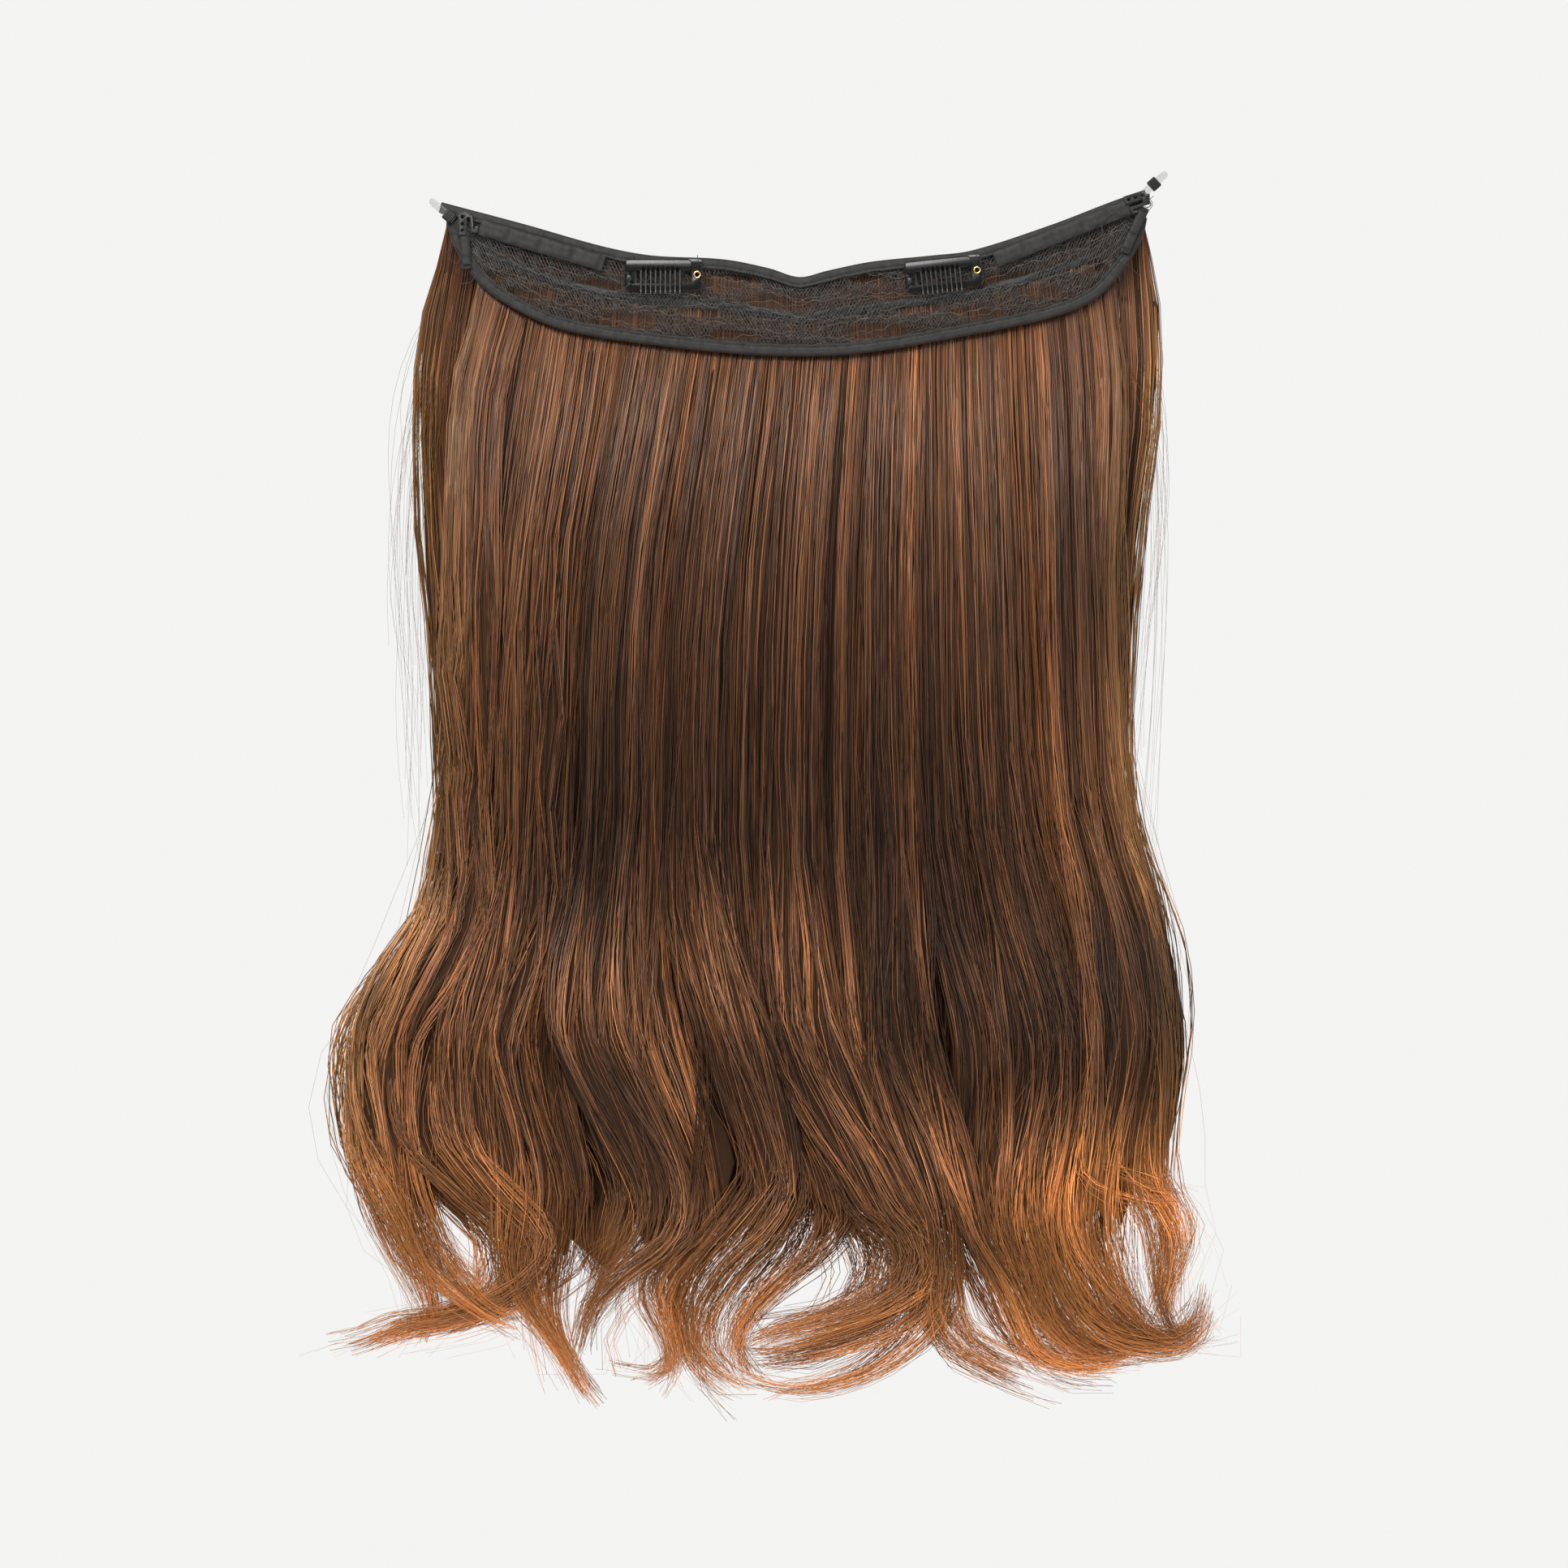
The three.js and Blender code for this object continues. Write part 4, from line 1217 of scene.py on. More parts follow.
    def threads(self) -> Surface:
        """Sewing threads from the frame's holes to the ribbon: arcs that rise over the plate's edge.

        Returns:
            The threads as one surface, in the clip's own frame.
        """
        places = np.array(self.THREADS) * MM
        share = np.linspace(0, 1, 9)
        x = places[:, 0:1] + (places[:, 2:3] - places[:, 0:1]) * share
        z = places[:, 1:2] + (places[:, 3:4] - places[:, 1:2]) * share
        y = np.broadcast_to(-2.3 * MM - 0.45 * MM * np.sin(share * math.pi) + 0.5 * MM * share, x.shape)
        return tubes(np.stack([x, y, z], axis=-1), np.full(x.shape, 0.17 * MM), 5)

    def build(self, finishes: Finishes) -> None:
        """Makes the clip's pieces, the comb on its own body.

        Args:
            finishes: the object's finishes.
        """
        name = f"{self.side.value}_clip"
        plate = bevelled_copy(name + "_frame", name + "_plate", finishes.paint, 0.14 * MM)
        settle(plate, (name + "_frame",))
        piece = make_object(name + "_toothed_comb", self.comb(), finishes.paint)
        settle(piece, (name + "_comb",), f"{self.side.value}_comb")
        ring = self.eyelet_ring()
        ring.points = self.to_row(ring.points)
        settle(make_object(name + "_eyelet", ring.outward(), finishes.brass), (name + "_rivet",))
        sewing = self.threads()
        sewing.points = self.to_row(sewing.points)
        settle(make_object(name + "_threads", sewing, finishes.thread))

    def comb(self) -> Surface:
        """The plate and the teeth of the comb.

        Returns:
            Both as one surface, in the part's frame.
        """
        bar = self.comb_bar()
        bar.chart = None
        whole = joined([bar, self.comb_teeth()])
        whole.points = self.to_row(whole.points)
        return whole


@dataclass
class BandEnd:
    """What is at one tip of the band: a hook, a clear strip and the ribbed sleeve on it.

    Attributes:
        side: which tip.
        inner: x and z of the clear strip's inner end, in millimetres.
        outer: x and z of its free end.
        depth: y of the strip's middle.
        sleeve_at: how far along the strip the sleeve's middle is.
        sleeve_length: length of the sleeve, in millimetres as all its sizes are.
        half_width: half of its width.
        half_depth: half of its depth.
        bore: half width and half depth of its hole.
        ridges: how many ridges go round it.
    """

    side: Side
    inner: Pair
    outer: Pair
    depth: float
    sleeve_at: float
    sleeve_length: float = 3.8
    half_width: float = 2.3
    half_depth: float = 1.2
    bore: Pair = (1.8, 0.7)
    ridges: int = 5

    def sleeve(self) -> Surface:
        """The sleeve: a rounded oblong carried along the strip, ridged outside, and back along its bore.

        Returns:
            The sleeve as a closed surface, in the part's frame.
        """
        share = np.linspace(0, 1, 41)
        ridge = 0.09 * np.cos(share * self.ridges * 2 * math.pi)
        ends = 0.22 * (1 - smoothstep(0, 0.07, np.minimum(share, 1 - share)))
        proud = (ridge - ends)[:, None]
        wide, deep = oblong(32, 0.35)
        outside = np.stack(np.broadcast_arrays(
            share[:, None] * self.sleeve_length,
            deep * (self.half_depth + proud),
            wide * (self.half_width + proud),
        ), axis=-1)
        hole = np.linspace(1, 0, 5)[:, None] * self.sleeve_length
        inside = np.stack(np.broadcast_arrays(hole, deep * self.bore[1], wide * self.bore[0]), axis=-1)
        surface = skin(np.concatenate([outside, inside]), capped=False)
        along = unit(np.array([self.outer[0] - self.inner[0], 0.0, self.outer[1] - self.inner[1]]))
        across = np.array([-along[2], 0.0, along[0]])
        start = np.array([self.inner[0], self.depth, self.inner[1]])
        local = surface.points
        shift = local[:, 0:1] + self.sleeve_at - self.sleeve_length / 2
        backward = local[:, 1:2] * np.array([0.0, 1.0, 0.0])
        surface.points = (start + shift * along + backward + local[:, 2:3] * across) * MM
        return surface.outward()

    def build(self, finishes: Finishes) -> None:
        """Makes the tip's pieces.

        Args:
            finishes: the object's finishes.
        """
        name = self.side.value
        strip = bevelled_copy(name + "_clear_loop", name + "_clear_strip", finishes.clear, 0.18 * MM)
        settle(strip, (name + "_clear_loop",))
        sleeve = make_object(name + "_ribbed_sleeve", self.sleeve(), finishes.sleeve)
        settle(sleeve, (name + "_crimp",))
        hook = bevelled_copy(name + "_hook", name + "_sewn_hook", finishes.sleeve, 0.22 * MM)
        settle(hook, (name + "_hook",))


@dataclass
class LooseThreads:
    """Loose sewing threads at the tips of the band, as thin tubes along smooth lines."""

    radius: float = 0.13 * MM
    # Each line: x, y and z of its points, in millimetres
    lines: tuple[tuple[Triple, ...], ...] = (
        ((115, -2.6, 38), (118, -3.4, 36), (121, -3.4, 29), (125, -3.0, 22), (131, -3.0, 18),
         (134, -2.6, 15)),
        ((127, -2.8, 40), (122, -3.4, 39), (119, -3.5, 34), (122, -3.2, 27), (129, -3.0, 24)),
        ((-139, -2.8, 24), (-136, -3.6, 27), (-133, -3.8, 24), (-135, -3.4, 20), (-138, -3.0, 22)),
        ((-136, -2.8, 16), (-131, -3.6, 20), (-127, -3.6, 18), (-129, -3.2, 13), (-134, -3.0, 12)),
        ((-139, -2.8, 33), (-134, -3.4, 32), (-128, -3.0, 29), (-121, -2.6, 27)),
        ((134.5, -3.2, 45.5), (137.5, -3.6, 45), (138.5, -3.4, 43), (136.5, -3.0, 41.8), (134.8, -3.4, 43),
         (136, -3.8, 45), (138.2, -3.5, 44.2), (137.6, -3.2, 42.2), (135.6, -3.4, 42.4)),
        ((139.5, -3.0, 46.5), (137, -3.6, 44.5), (135, -3.4, 41.5), (137.5, -3.2, 41), (139, -3.6, 43.5),
         (137, -3.8, 46), (134.6, -3.2, 44.6)),
    )

    def build(self, finishes: Finishes) -> None:
        """Makes all the threads as one piece.

        Args:
            finishes: the object's finishes.
        """
        paths = np.stack([smooth_line(line, 28) for line in self.lines]) * MM
        threads = tubes(paths, np.full(paths.shape[:2], self.radius), 5)
        settle(make_object("loose_threads", threads, finishes.thread))


# Hair


def low_edge(x: Array) -> Array:
    """Height of the band's lower edge at x, up to where its ends turn steeply up, in millimetres."""
    return BOTTOM_EDGE.height(np.clip(x * MM, *STEEP_ENDS)) / MM


def behind_band(x: Array, z: Array) -> Array:
    """1 where hair at x and z, in millimetres, lies behind the band, and 0 below it."""
    low = BOTTOM_EDGE.height(x * MM) / MM
    return smoothstep(low - BAND_FADE, low + BAND_FADE, z)


@dataclass(frozen=True)
class HairTones:
    """Colours of the hair, as linear red, green and blue."""

    root: Triple = (0.085, 0.041, 0.024)
    body: Triple = (0.108, 0.049, 0.024)
    auburn: Triple = (0.17, 0.064, 0.022)
    copper: Triple = (0.45, 0.175, 0.05)
    # Colour of the painted glow at the thin outer edges, which stands for light shining through thin hair
    painted_glow: Triple = (0.24, 0.118, 0.042)

    def along(self, x: Array, z: Array, warm: Array, light: Array, edge: Array) -> Array:
        """Colours along strands.

        From root to body under the band, to copper near the tips, and to a painted glow at the thin outer
        edges, which stands for light shining through thin hair.

        Args:
            x: places across, in millimetres.
            z: heights, in millimetres.
            warm: share of auburn of each strand.
            light: brightness along each strand, which carries the painted sheen and shade.
            edge: share of the painted glow of each strand.

        Returns:
            Colours, in the shape of z with a last axis of 3.
        """
        def mixed(first: Array, second: Triple, share: Array) -> Array:
            """A colour drawn towards a second one by a share."""
            return first + (np.array(second) - first) * share[..., None]

        tone = mixed(np.broadcast_to(np.array(self.root), (*z.shape, 3)), self.body, smoothstep(30, -40, z))
        tone = mixed(tone, self.auburn, np.broadcast_to(warm, z.shape))
        early = 44 * smoothstep(60, 130, x) + 26 * smoothstep(-80, -140, x)
        # Painted glow of light through thin hair at the outer edges, below the band
        tone = mixed(tone, self.painted_glow, edge * smoothstep(40, -60, z))
        tone = mixed(tone, self.copper, 0.95 * smoothstep(-336, -404, z - early))
        return tone * light[..., None]


@dataclass
class Weft:
    """One sewn row of hair: inner bodies of its locks, darkened with painted shade, strands over them and
    the track that holds them.

    A lock follows a path in x down its heights, and its strands are split into bundles. A bundle's line
    follows its lock to the belly of the waves, and then a curling end near it. A strand keeps close to its
    bundle's line, waves about it, and narrows towards it at the tip.

    Attributes:
        row: which row it is.
        locks: the row's table of locks.
        strands: how many strands it has.
        stations: points along a strand.
        radius: radius of a strand.
        pieces: how many pieces the strands are split into.
        track_left: x of the track's left end.
        track_right: x of its right end.
        seed: seed of the draw.
        front_share: share of the outer strands that lie on the scalp side of their lock.
        fill: how much wider the locks spread where they wave, to close the row.
        painted_glow_share: how strong the painted glow, which stands for light through thin hair, is on the
            row's first and last locks.
        outside_share: share of the strands that lie on the outside of their lock.
        tones: colours of the hair.
        layer_air: room left free before and behind the row's layer, in millimetres.
        lock_air: half of the room left free between the row's near and far locks, in millimetres.
    """

    row: HairRow
    locks: Table
    strands: int
    stations: int
    radius: float
    pieces: int
    track_left: float
    track_right: float
    seed: int
    front_share: float
    fill: float
    painted_glow_share: float
    outside_share: float = 0.78
    tones: HairTones = field(default_factory=HairTones)
    layer_air: float = 0.6
    lock_air: float = 0.2

    # Points along a bundle's line, and the usual length of a strand in millimetres
    SAMPLES = 240
    LENGTH = 480
    # Shares of a strand's length where its upper stations lie
    UPPER_SHARES = (0, 0.015, 0.05, 0.09, 0.14, 0.2, 0.28, 0.37, 0.46, 0.54, 0.6, 0.65)
    # How far the lower row is sewn over the band's lower edge, and the upper row under its upper edge
    LOW_SEAM = 3.5
    HIGH_SEAM = 3.0
    # Height where a bundle takes the nearest curling end, and how freely it picks among those near it
    LEAVING_Z = -330.0
    CHOICE = 7
    # How many times more strands the two end locks get for their width
    END_FULLNESS = 1.7

    def name(self) -> str:
        """The row's name."""
        return self.row.name.lower()

    def root_height(self, x: Array) -> Array:
        """Height where hair leaves the track.

        Args:
            x: places across, in millimetres.

        Returns:
            Heights, in millimetres.
        """
        inside = np.clip(x, self.track_left, self.track_right)
        low = low_edge(inside)
        high = TOP_EDGE.height(inside * MM) / MM
        if self.row is HairRow.LOWER:
            return low + self.LOW_SEAM
        if self.row is HairRow.UPPER:
            return high - self.HIGH_SEAM
        return (low + high) / 2

    def root_place(self, lock: Lock, across: Array) -> Array:
        """x where strands at places across a lock leave the track, in millimetres."""
        return lock[0] + across * lock[-1] / 2 * LOCK_TAPER[0][1]

    def is_end(self, number: int) -> bool:
        """True for the first and the last lock of the row."""
        return number in (0, len(self.locks) - 1)

    def path(self, lock: Lock, z: Array) -> Array:
        """The line of a lock's middle, with a swing outwards beside the band at both ends.

        Args:
            lock: the lock's row of the table.
            z: heights, in millimetres.

        Returns:
            Places across, in millimetres.
        """
        root, swell, fall, waist, belly, tuck, hem, tip_x, tip_z, _ = lock
        heights = np.array([ABOVE_Z, BAND_Z, SWELL_Z, FALL_Z, WAIST_Z, BELLY_Z, TUCK_Z, HEM_Z, tip_z], float)
        places = np.array([root, root, swell, fall, waist, belly, tuck, hem, tip_x], float)
        swing = END_SWING[0] * smoothstep(-80, -135, root) + END_SWING[1] * smoothstep(80, 132, root)
        beside_band = smoothstep(0, 45, self.root_height(np.array(root)) - z) * smoothstep(-95, -22, z)
        return cubic_through(-heights, places, -z) + swing * beside_band

    def held_at_root(self, x: Array, freed: Array) -> Array:
        """Draws places across into the length of the track where the hair isn't free yet.

        Args:
            x: places across, in millimetres.
            freed: 0 at the root and 1 where the hair hangs free.

        Returns:
            Places across, in millimetres.
        """
        inside = np.clip(x, self.track_left + 1, self.track_right - 2)
        return inside + (x - inside) * freed

    def track_depth(self) -> float:
        """y of the track's middle, in millimetres."""
        return 2.7 if self.row is HairRow.MIDDLE else 4.0

    def fallen(self, x: Array, z: Array) -> Array:
        """How far the hair has come from its track to its own layer: 0 at the track and 1 under the band.

        Args:
            x: places across, in millimetres.
            z: heights, in millimetres.

        Returns:
            Shares, in the shape of z.
        """
        root = self.root_height(x)
        return smoothstep(0, 1, (root - z) / (np.maximum(root - low_edge(x), 10) + 8))

    def depth(self, z: Array, far_half: bool) -> tuple[Array, Array]:
        """Where a lock's layer lies in y.

        Args:
            z: heights, in millimetres.
            far_half: True if the lock lies in the far half of its row.

        Returns:
            The layer's middle and half its thickness, in millimetres.
        """
        thick = by_height(HAIR_DEPTH, 2, z)
        near = by_height(HAIR_DEPTH, 1, z) + self.row.value * thick + self.layer_air
        far = near + thick - 2 * self.layer_air
        half = (far - near) / 2 - self.lock_air
        middle = far - half / 2 if far_half else near + half / 2
        return middle, half / 2

    def frame_of(self, lock: Lock, z: Array, far_half: bool) -> tuple[Array, Array, Array, Array]:
        """A lock's section at some heights, wider where the lock leans.

        Args:
            lock: the lock's row of the table.
            z: heights, in millimetres.
            far_half: True if the lock lies in the far half of its row.

        Returns:
            Middle x, half width, middle y and half depth, in millimetres.
        """
        middle = self.path(lock, z)
        lean = self.path(lock, z - 1) - middle
        spread = 1 + self.fill * smoothstep(FALL_Z, BELLY_Z, z)
        wide = lock[-1] / 2 * by_height(LOCK_TAPER, 1, z) * spread * np.hypot(1, np.clip(lean, -2.5, 2.5))
        deep_at, deep = self.depth(z, far_half)
        return middle, wide, deep_at, deep * by_height(LOCK_TAPER, 2, z)

    def lock_body(self, lock: Lock, number: int) -> Surface:
        """A lock's inner body, darkened with painted shade: flattened rings down its path that close before
        the tips begin.

        Args:
            lock: the lock's row of the table.
            number: its place in the row of locks.

        Returns:
            The body as a closed surface with its colours.
        """
        far_half = number % 2 == 1
        at_end = self.is_end(number)
        top = float(self.root_height(np.array(lock[0])))
        # Bodies end higher at the two sides, and lower left of the middle in the rows behind
        closed = CLOSED_Z + 16 * float(smoothstep(90, 125, abs(lock[0])))
        lowered = self.row.value * float(smoothstep(-20, -50, lock[0]) * smoothstep(-105, -85, lock[0]))
        closed -= 6 * lowered
        upper = top - self.LENGTH * np.array(self.UPPER_SHARES[:7])
        z = np.concatenate([upper, np.linspace(upper[-1], closed, 22)[1:]])[:, None]
        middle, wide, deep_at, deep = self.frame_of(lock, z, far_half)
        keeps = 0.88 - (0.08 if at_end else 0) * smoothstep(10, -60, z)
        fade = 1 - smoothstep(closed + NARROWING - 5 * lowered, closed, z)
        angle = np.linspace(0, 2 * math.pi, 14, endpoint=False)[None, :]
        x = middle + wide * keeps * np.cos(angle) * np.maximum(fade, 0.02)
        x = self.held_at_root(x, smoothstep(0, 40, top - z))
        z = z + (self.root_height(x) - top) * (1 - smoothstep(0, 60, top - z))
        hidden_side = 0.0 if at_end else 0.7 * (1 - self.row.value)
        y = deep_at + deep * (hidden_side + 0.3 * np.sin(angle) * np.maximum(fade, 0.05))
        y = self.track_depth() + (y - self.track_depth()) * self.fallen(x, z)
        rings = np.stack(np.broadcast_arrays(x, y, z), axis=-1)
        surface = skin(rings * MM)
        surface.chart = None
        x, z = rings[..., 0], rings[..., 2]
        # Painted shade: the bodies are darkened to stand for the shade deep among the strands, and lifted
        # behind the band and near the tips
        light = 0.36 + 0.5 * behind_band(x, z)
        light = light + 0.25 * smoothstep(-345, -378, z)
        none = np.zeros_like(z)
        surface.tones = self.tones.along(x, z, none, light, none).reshape(-1, 3)
        return surface

    def bundle_line(self, lock: Lock, across: float, far_half: bool, draw: Draw) -> tuple[Array, float]:
        """The middle line of one bundle of strands: down its lock to the belly, then along a wisp near it.

        Args:
            lock: the lock's row of the table.
            across: the bundle's place across the lock, from -1 to 1.
            far_half: True if the lock lies in the far half of its row.
            draw: the seeded draw.

        Returns:
            Even points in x and z, in millimetres, and the share of the length where the wisp begins.
        """
        top = float(self.root_height(np.array(self.root_place(lock, across))))
        z = np.array([top, min(top - 30, -30), SWELL_Z, -150, FALL_Z, WAIST_Z, -262, BELLY_Z])
        middle, wide, _, _ = self.frame_of(lock, z, far_half)
        upper = np.stack([middle + across * wide, z], axis=1)
        leaves_at = float(self.path(lock, np.array(self.LEAVING_Z)) + across * lock[-1] / 2)
        gaps = np.abs(np.array([wisp[1][0] for wisp in WISPS]) - leaves_at)
        gaps = gaps + np.abs(draw.normal(0, self.CHOICE, len(WISPS)))
        wisp = WISPS[int(np.argmin(gaps))]
        line = np.array(wisp[1:], float)
        heading = unit(np.gradient(line, axis=0))
        beside = np.stack([-heading[:, 1], heading[:, 0]], axis=1)
        run = travelled(line)
        run = run / run[-1]
        start_x, start_wide, _, _ = self.frame_of(lock, line[:1, 1], far_half)
        apart = float(start_x[0] + across * start_wide[0] - line[0, 0])
        loose = 7.0 if draw.random() < 0.16 else 1.5
        wander = draw.normal(0, loose, 2) * run[:, None]
        widening = 0.5 * smoothstep(0, 0.5, run) - 0.42 * smoothstep(0.4, 1, run)
        aside = draw.uniform(-0.5, 0.5) * wisp[0] * widening
        line = line + beside * aside[:, None] + wander
        line[:, 0] += apart * (1 - smoothstep(0.2, 0.8, run))
        dense = smooth_line(tuple(map(tuple, np.concatenate([upper, line]))), self.SAMPLES)
        begins = float(np.argmin(np.linalg.norm(dense - line[0], axis=1))) / (self.SAMPLES - 1)
        return dense, begins

    def tress(self, lock: Lock, number: int, count: int, draw: Draw) -> tuple[Array, ...]:
        """Strands of one lock: each lies beside its bundle's line, with the bundle's waves and its own.

        Args:
            lock: the lock's row of the table.
            number: its place in the row of locks.
            count: how many strands.
            draw: the seeded draw.

        Returns:
            Paths in metres, radii in metres, colours, and each strand's first angle.
        """
        far_half = number % 2 == 1
        bundles = self.bundle_count(lock)
        bundle = draw.integers(0, bundles, count)
        bundle_across = (np.arange(bundles) + 0.5) / bundles * 2 - 1 + draw.normal(0, 0.5 / bundles, bundles)
        bundle_lift = draw.uniform(-0.55, 0.35, bundles)
        own_across = draw.normal(0, 0.9 / bundles, count)
        across = np.clip(bundle_across[bundle] + own_across, -1.05, 1.05)
        lines = [self.bundle_line(lock, place, far_half, draw) for place in bundle_across]
        line = np.stack([points for points, _ in lines])
        begins = np.array([share for _, share in lines])[bundle][:, None]
        heading = unit(np.gradient(line, axis=1))
        beside = np.stack([-heading[..., 1], heading[..., 0]], axis=-1)

        room = np.sqrt(1.12 - across**2)
        outside = draw.random(count) < self.outside_share
        front_share = max(self.front_share, 0.5) if self.is_end(number) else self.front_share
        facing = np.where(draw.random(count) < front_share, -1.0, 1.0)
        deep = np.where(outside, facing * draw.uniform(0.7, 1.05, count), draw.uniform(-1, 1, count)) * room
        deep = deep + bundle_lift[bundle] * 0.5

        lower_shares = np.linspace(self.UPPER_SHARES[-1], 1, self.stations - len(self.UPPER_SHARES) + 1)[1:]
        share = np.concatenate([self.UPPER_SHARES, lower_shares])[None, :]
        short = np.clip(draw.uniform(0, 0.22, bundles)[bundle] + np.abs(draw.normal(0, 0.13, count)), 0, 0.6)
        along = share * (1 - (1 - begins) * short[:, None])
        low = np.clip((along * (self.SAMPLES - 1)).astype(int), 0, self.SAMPLES - 2)
        part = (along * (self.SAMPLES - 1) - low)[..., None]
        which = bundle[:, None]
        middle = line[which, low] * (1 - part) + line[which, low + 1] * part
        aside = beside[which, low] * (1 - part) + beside[which, low + 1] * part

        z = middle[..., 1]
        wide = lock[-1] / 2 * by_height(LOCK_TAPER, 1, z)
        in_wisp = smoothstep(begins - 0.1, begins + 0.12, along)
        narrowing = 1 - 0.8 * smoothstep(begins + 0.06, 1.0, along)
        spread = own_across[:, None] * wide * (1 - in_wisp)
        spread = spread + draw.normal(0, 2.3, count)[:, None] * narrowing * in_wisp
        early = float(smoothstep(-55, -95, lock[0]))
        swaying = smoothstep(-90 + 45 * early, -300 + 130 * early, z) * (1 + 0.5 * early)
        bundle_sway = draw.uniform(1.0, 2.8, bundles)[which] * swaying * (1 - 0.7 * in_wisp)
        phase = draw.uniform(0, 2 * math.pi, bundles)[which]
        turn = z / draw.uniform(95, 150, bundles)[which] * 2 * math.pi + phase
        own_phase = draw.uniform(0, 2 * math.pi, count)[:, None]
        own_pitch = draw.uniform(7, 18, count)[:, None]
        own = draw.uniform(0.1, 0.6, count)[:, None] * np.sin(z / own_pitch + own_phase)
        drift = draw.normal(0, 1.2, count)[:, None] * smoothstep(0, -300, z)
        free = smoothstep(10, -40, z)
        offset = spread + bundle_sway * np.sin(turn) + (own + drift) * free
        x = middle[..., 0] + aside[..., 0] * offset
        x = self.held_at_root(x, smoothstep(0, 0.08, along))
        level = self.root_height(self.root_place(lock, across)) - line[bundle, 0, 1]
        height = z + aside[..., 1] * offset + level[:, None] * (1 - smoothstep(0, 0.1, along))
        deep_at, thick = self.depth(z, far_half)
        thick = thick * by_height(LOCK_TAPER, 2, z)
        held_deep = deep[:, None] + (bundle_lift[bundle] - deep)[:, None] * smoothstep(-190, -385, z) * 0.5
        stray = np.clip(draw.normal(0, 2.2, bundles)[bundle] + draw.normal(0, 1.2, count), -5, 5)[:, None]
        y = deep_at + thick * held_deep + 0.8 * bundle_sway * np.cos(turn) + 0.4 * own * free
        y = y + stray * smoothstep(-310, -400, z)
        root_y = self.track_depth() + 0.8 * deep[:, None]
        y = root_y + (y - root_y) * self.fallen(x, height)
        paths = np.stack([x, y, height], axis=-1) * MM

        taper = 1 - 0.6 * smoothstep(0.78, 1.0, np.broadcast_to(share, z.shape))
        radii = self.radius * draw.uniform(0.75, 1.2, count)[:, None] * taper
        tones = self.strand_tones(x, z, number, across, bundle, draw)
        return paths, radii, tones, draw.uniform(0, 2 * math.pi, count)

    def bundle_count(self, lock: Lock) -> int:
        """How many bundles a lock's strands are split into, by its width."""
        return max(6, round(lock[-1] / 2.4))

    def strand_tones(
        self, x: Array, z: Array, number: int, across: Array, bundle: Array, draw: Draw
    ) -> Array:
        """Colours along the strands of one lock, with a light and a warmth drawn for each bundle and strand.

        The light differs most below the band, is evened and lifted behind it with painted light against the
        lace's shade, is evened near the tips, and takes the painted sheen and shade.

        Args:
            x: places across, in millimetres.
            z: heights, in millimetres.
            number: the lock's place in the row of locks.
            across: each strand's place across the lock, from -1 to 1.
            bundle: each strand's bundle.
            draw: the seeded draw.

        Returns:
            Colours, strands by stations by 3.
        """
        count = len(bundle)
        bundles = self.bundle_count(self.locks[number])
        contrast = 0.2 + 0.2 * smoothstep(-90, -230, z)
        by_bundle = draw.normal(0, 1, bundles)[bundle][:, None] * contrast
        light = np.exp(by_bundle + draw.normal(0, 0.62, count)[:, None])
        # The end locks are kept from going dark: painted light that lifts the shade on the thin outer
        # strands
        light = np.clip(light, 0.65 if self.is_end(number) else 0.16, 3.0)
        # Behind the band the light is evened and lifted: painted light against the lace's shade
        light = light + (1.15 - light) * 0.85 * behind_band(x, z)
        light = light + (np.clip(light, 0.7, 1.5) - light) * smoothstep(-330, -380, z)
        # Painted sheen and shade: the colour is made lighter and darker where the light falls
        light = light * self.sheen(x, z, number, draw.uniform(0, 2 * math.pi))
        warm = np.clip(draw.normal(0.25, 0.3, bundles)[bundle] + draw.normal(0, 0.25, count), 0, 1)
        # Painted glow on the outermost strands of the row, for light shining through thin hair
        from_end = np.minimum(number + across, len(self.locks) - 1 - number - across)
        edge = self.painted_glow_share * (1 - smoothstep(-0.9, 0.4, from_end))[:, None] * np.ones_like(z)
        return self.tones.along(x, z, warm[:, None], light, edge)

    def sheen(self, x: Array, z: Array, number: int, phase: float) -> Array:
        """Painted sheen and shade in the hair's colour at x and z: the table by height, painted waves of
        light on each lock, painted highlights on two sides and painted shade at the top left.

        Args:
            x: places across, in millimetres.
            z: heights, in millimetres.
            number: the lock's place in the row of locks.
            phase: where the lock's own wave of light begins.

        Returns:
            Brightness, in the shape of x.
        """
        lower = smoothstep(-215, -240, z) * smoothstep(-385, -335, z)
        read_at = z + 58 * smoothstep(5, 60, x) * lower - 14 * np.sin(number * 2.4)
        light = by_height(HAIR_PAINTED_LIGHT, 1, read_at)
        light = light * (1 + 0.4 * np.sin(z / 88 * 2 * math.pi + phase) * smoothstep(-190, -260, z))
        # Painted highlights on the right and the left side, and painted shade at the top left
        right = smoothstep(72, 125, x) * smoothstep(-120, -175, z) * smoothstep(-265, -215, z)
        left = smoothstep(-85, -125, x) * smoothstep(-90, -150, z) * smoothstep(-285, -235, z)
        top_left = smoothstep(-70, -125, x) * smoothstep(-100, -60, z)
        return light * (1 + 2.2 * right + 0.35 * left - 0.3 * top_left)

    def track(self) -> Surface:
        """The track that the strands are sewn to: a rippled rounded oblong carried behind the band.

        Returns:
            The track as a closed surface.
        """
        x = np.linspace(self.track_left, self.track_right, 140)
        z = self.root_height(x) + (0.5 if self.row is HairRow.UPPER else 0)
        wide, deep = oblong(12, 0.5)
        ripple = 0.12 * np.sin(x * 3.1)[:, None]
        y = self.track_depth() + deep[None, :] * 1.2 + ripple
        z = z[:, None] + wide[None, :] * 1.9 + ripple
        return skin(np.stack(np.broadcast_arrays(x[:, None], y, z), axis=-1) * MM)

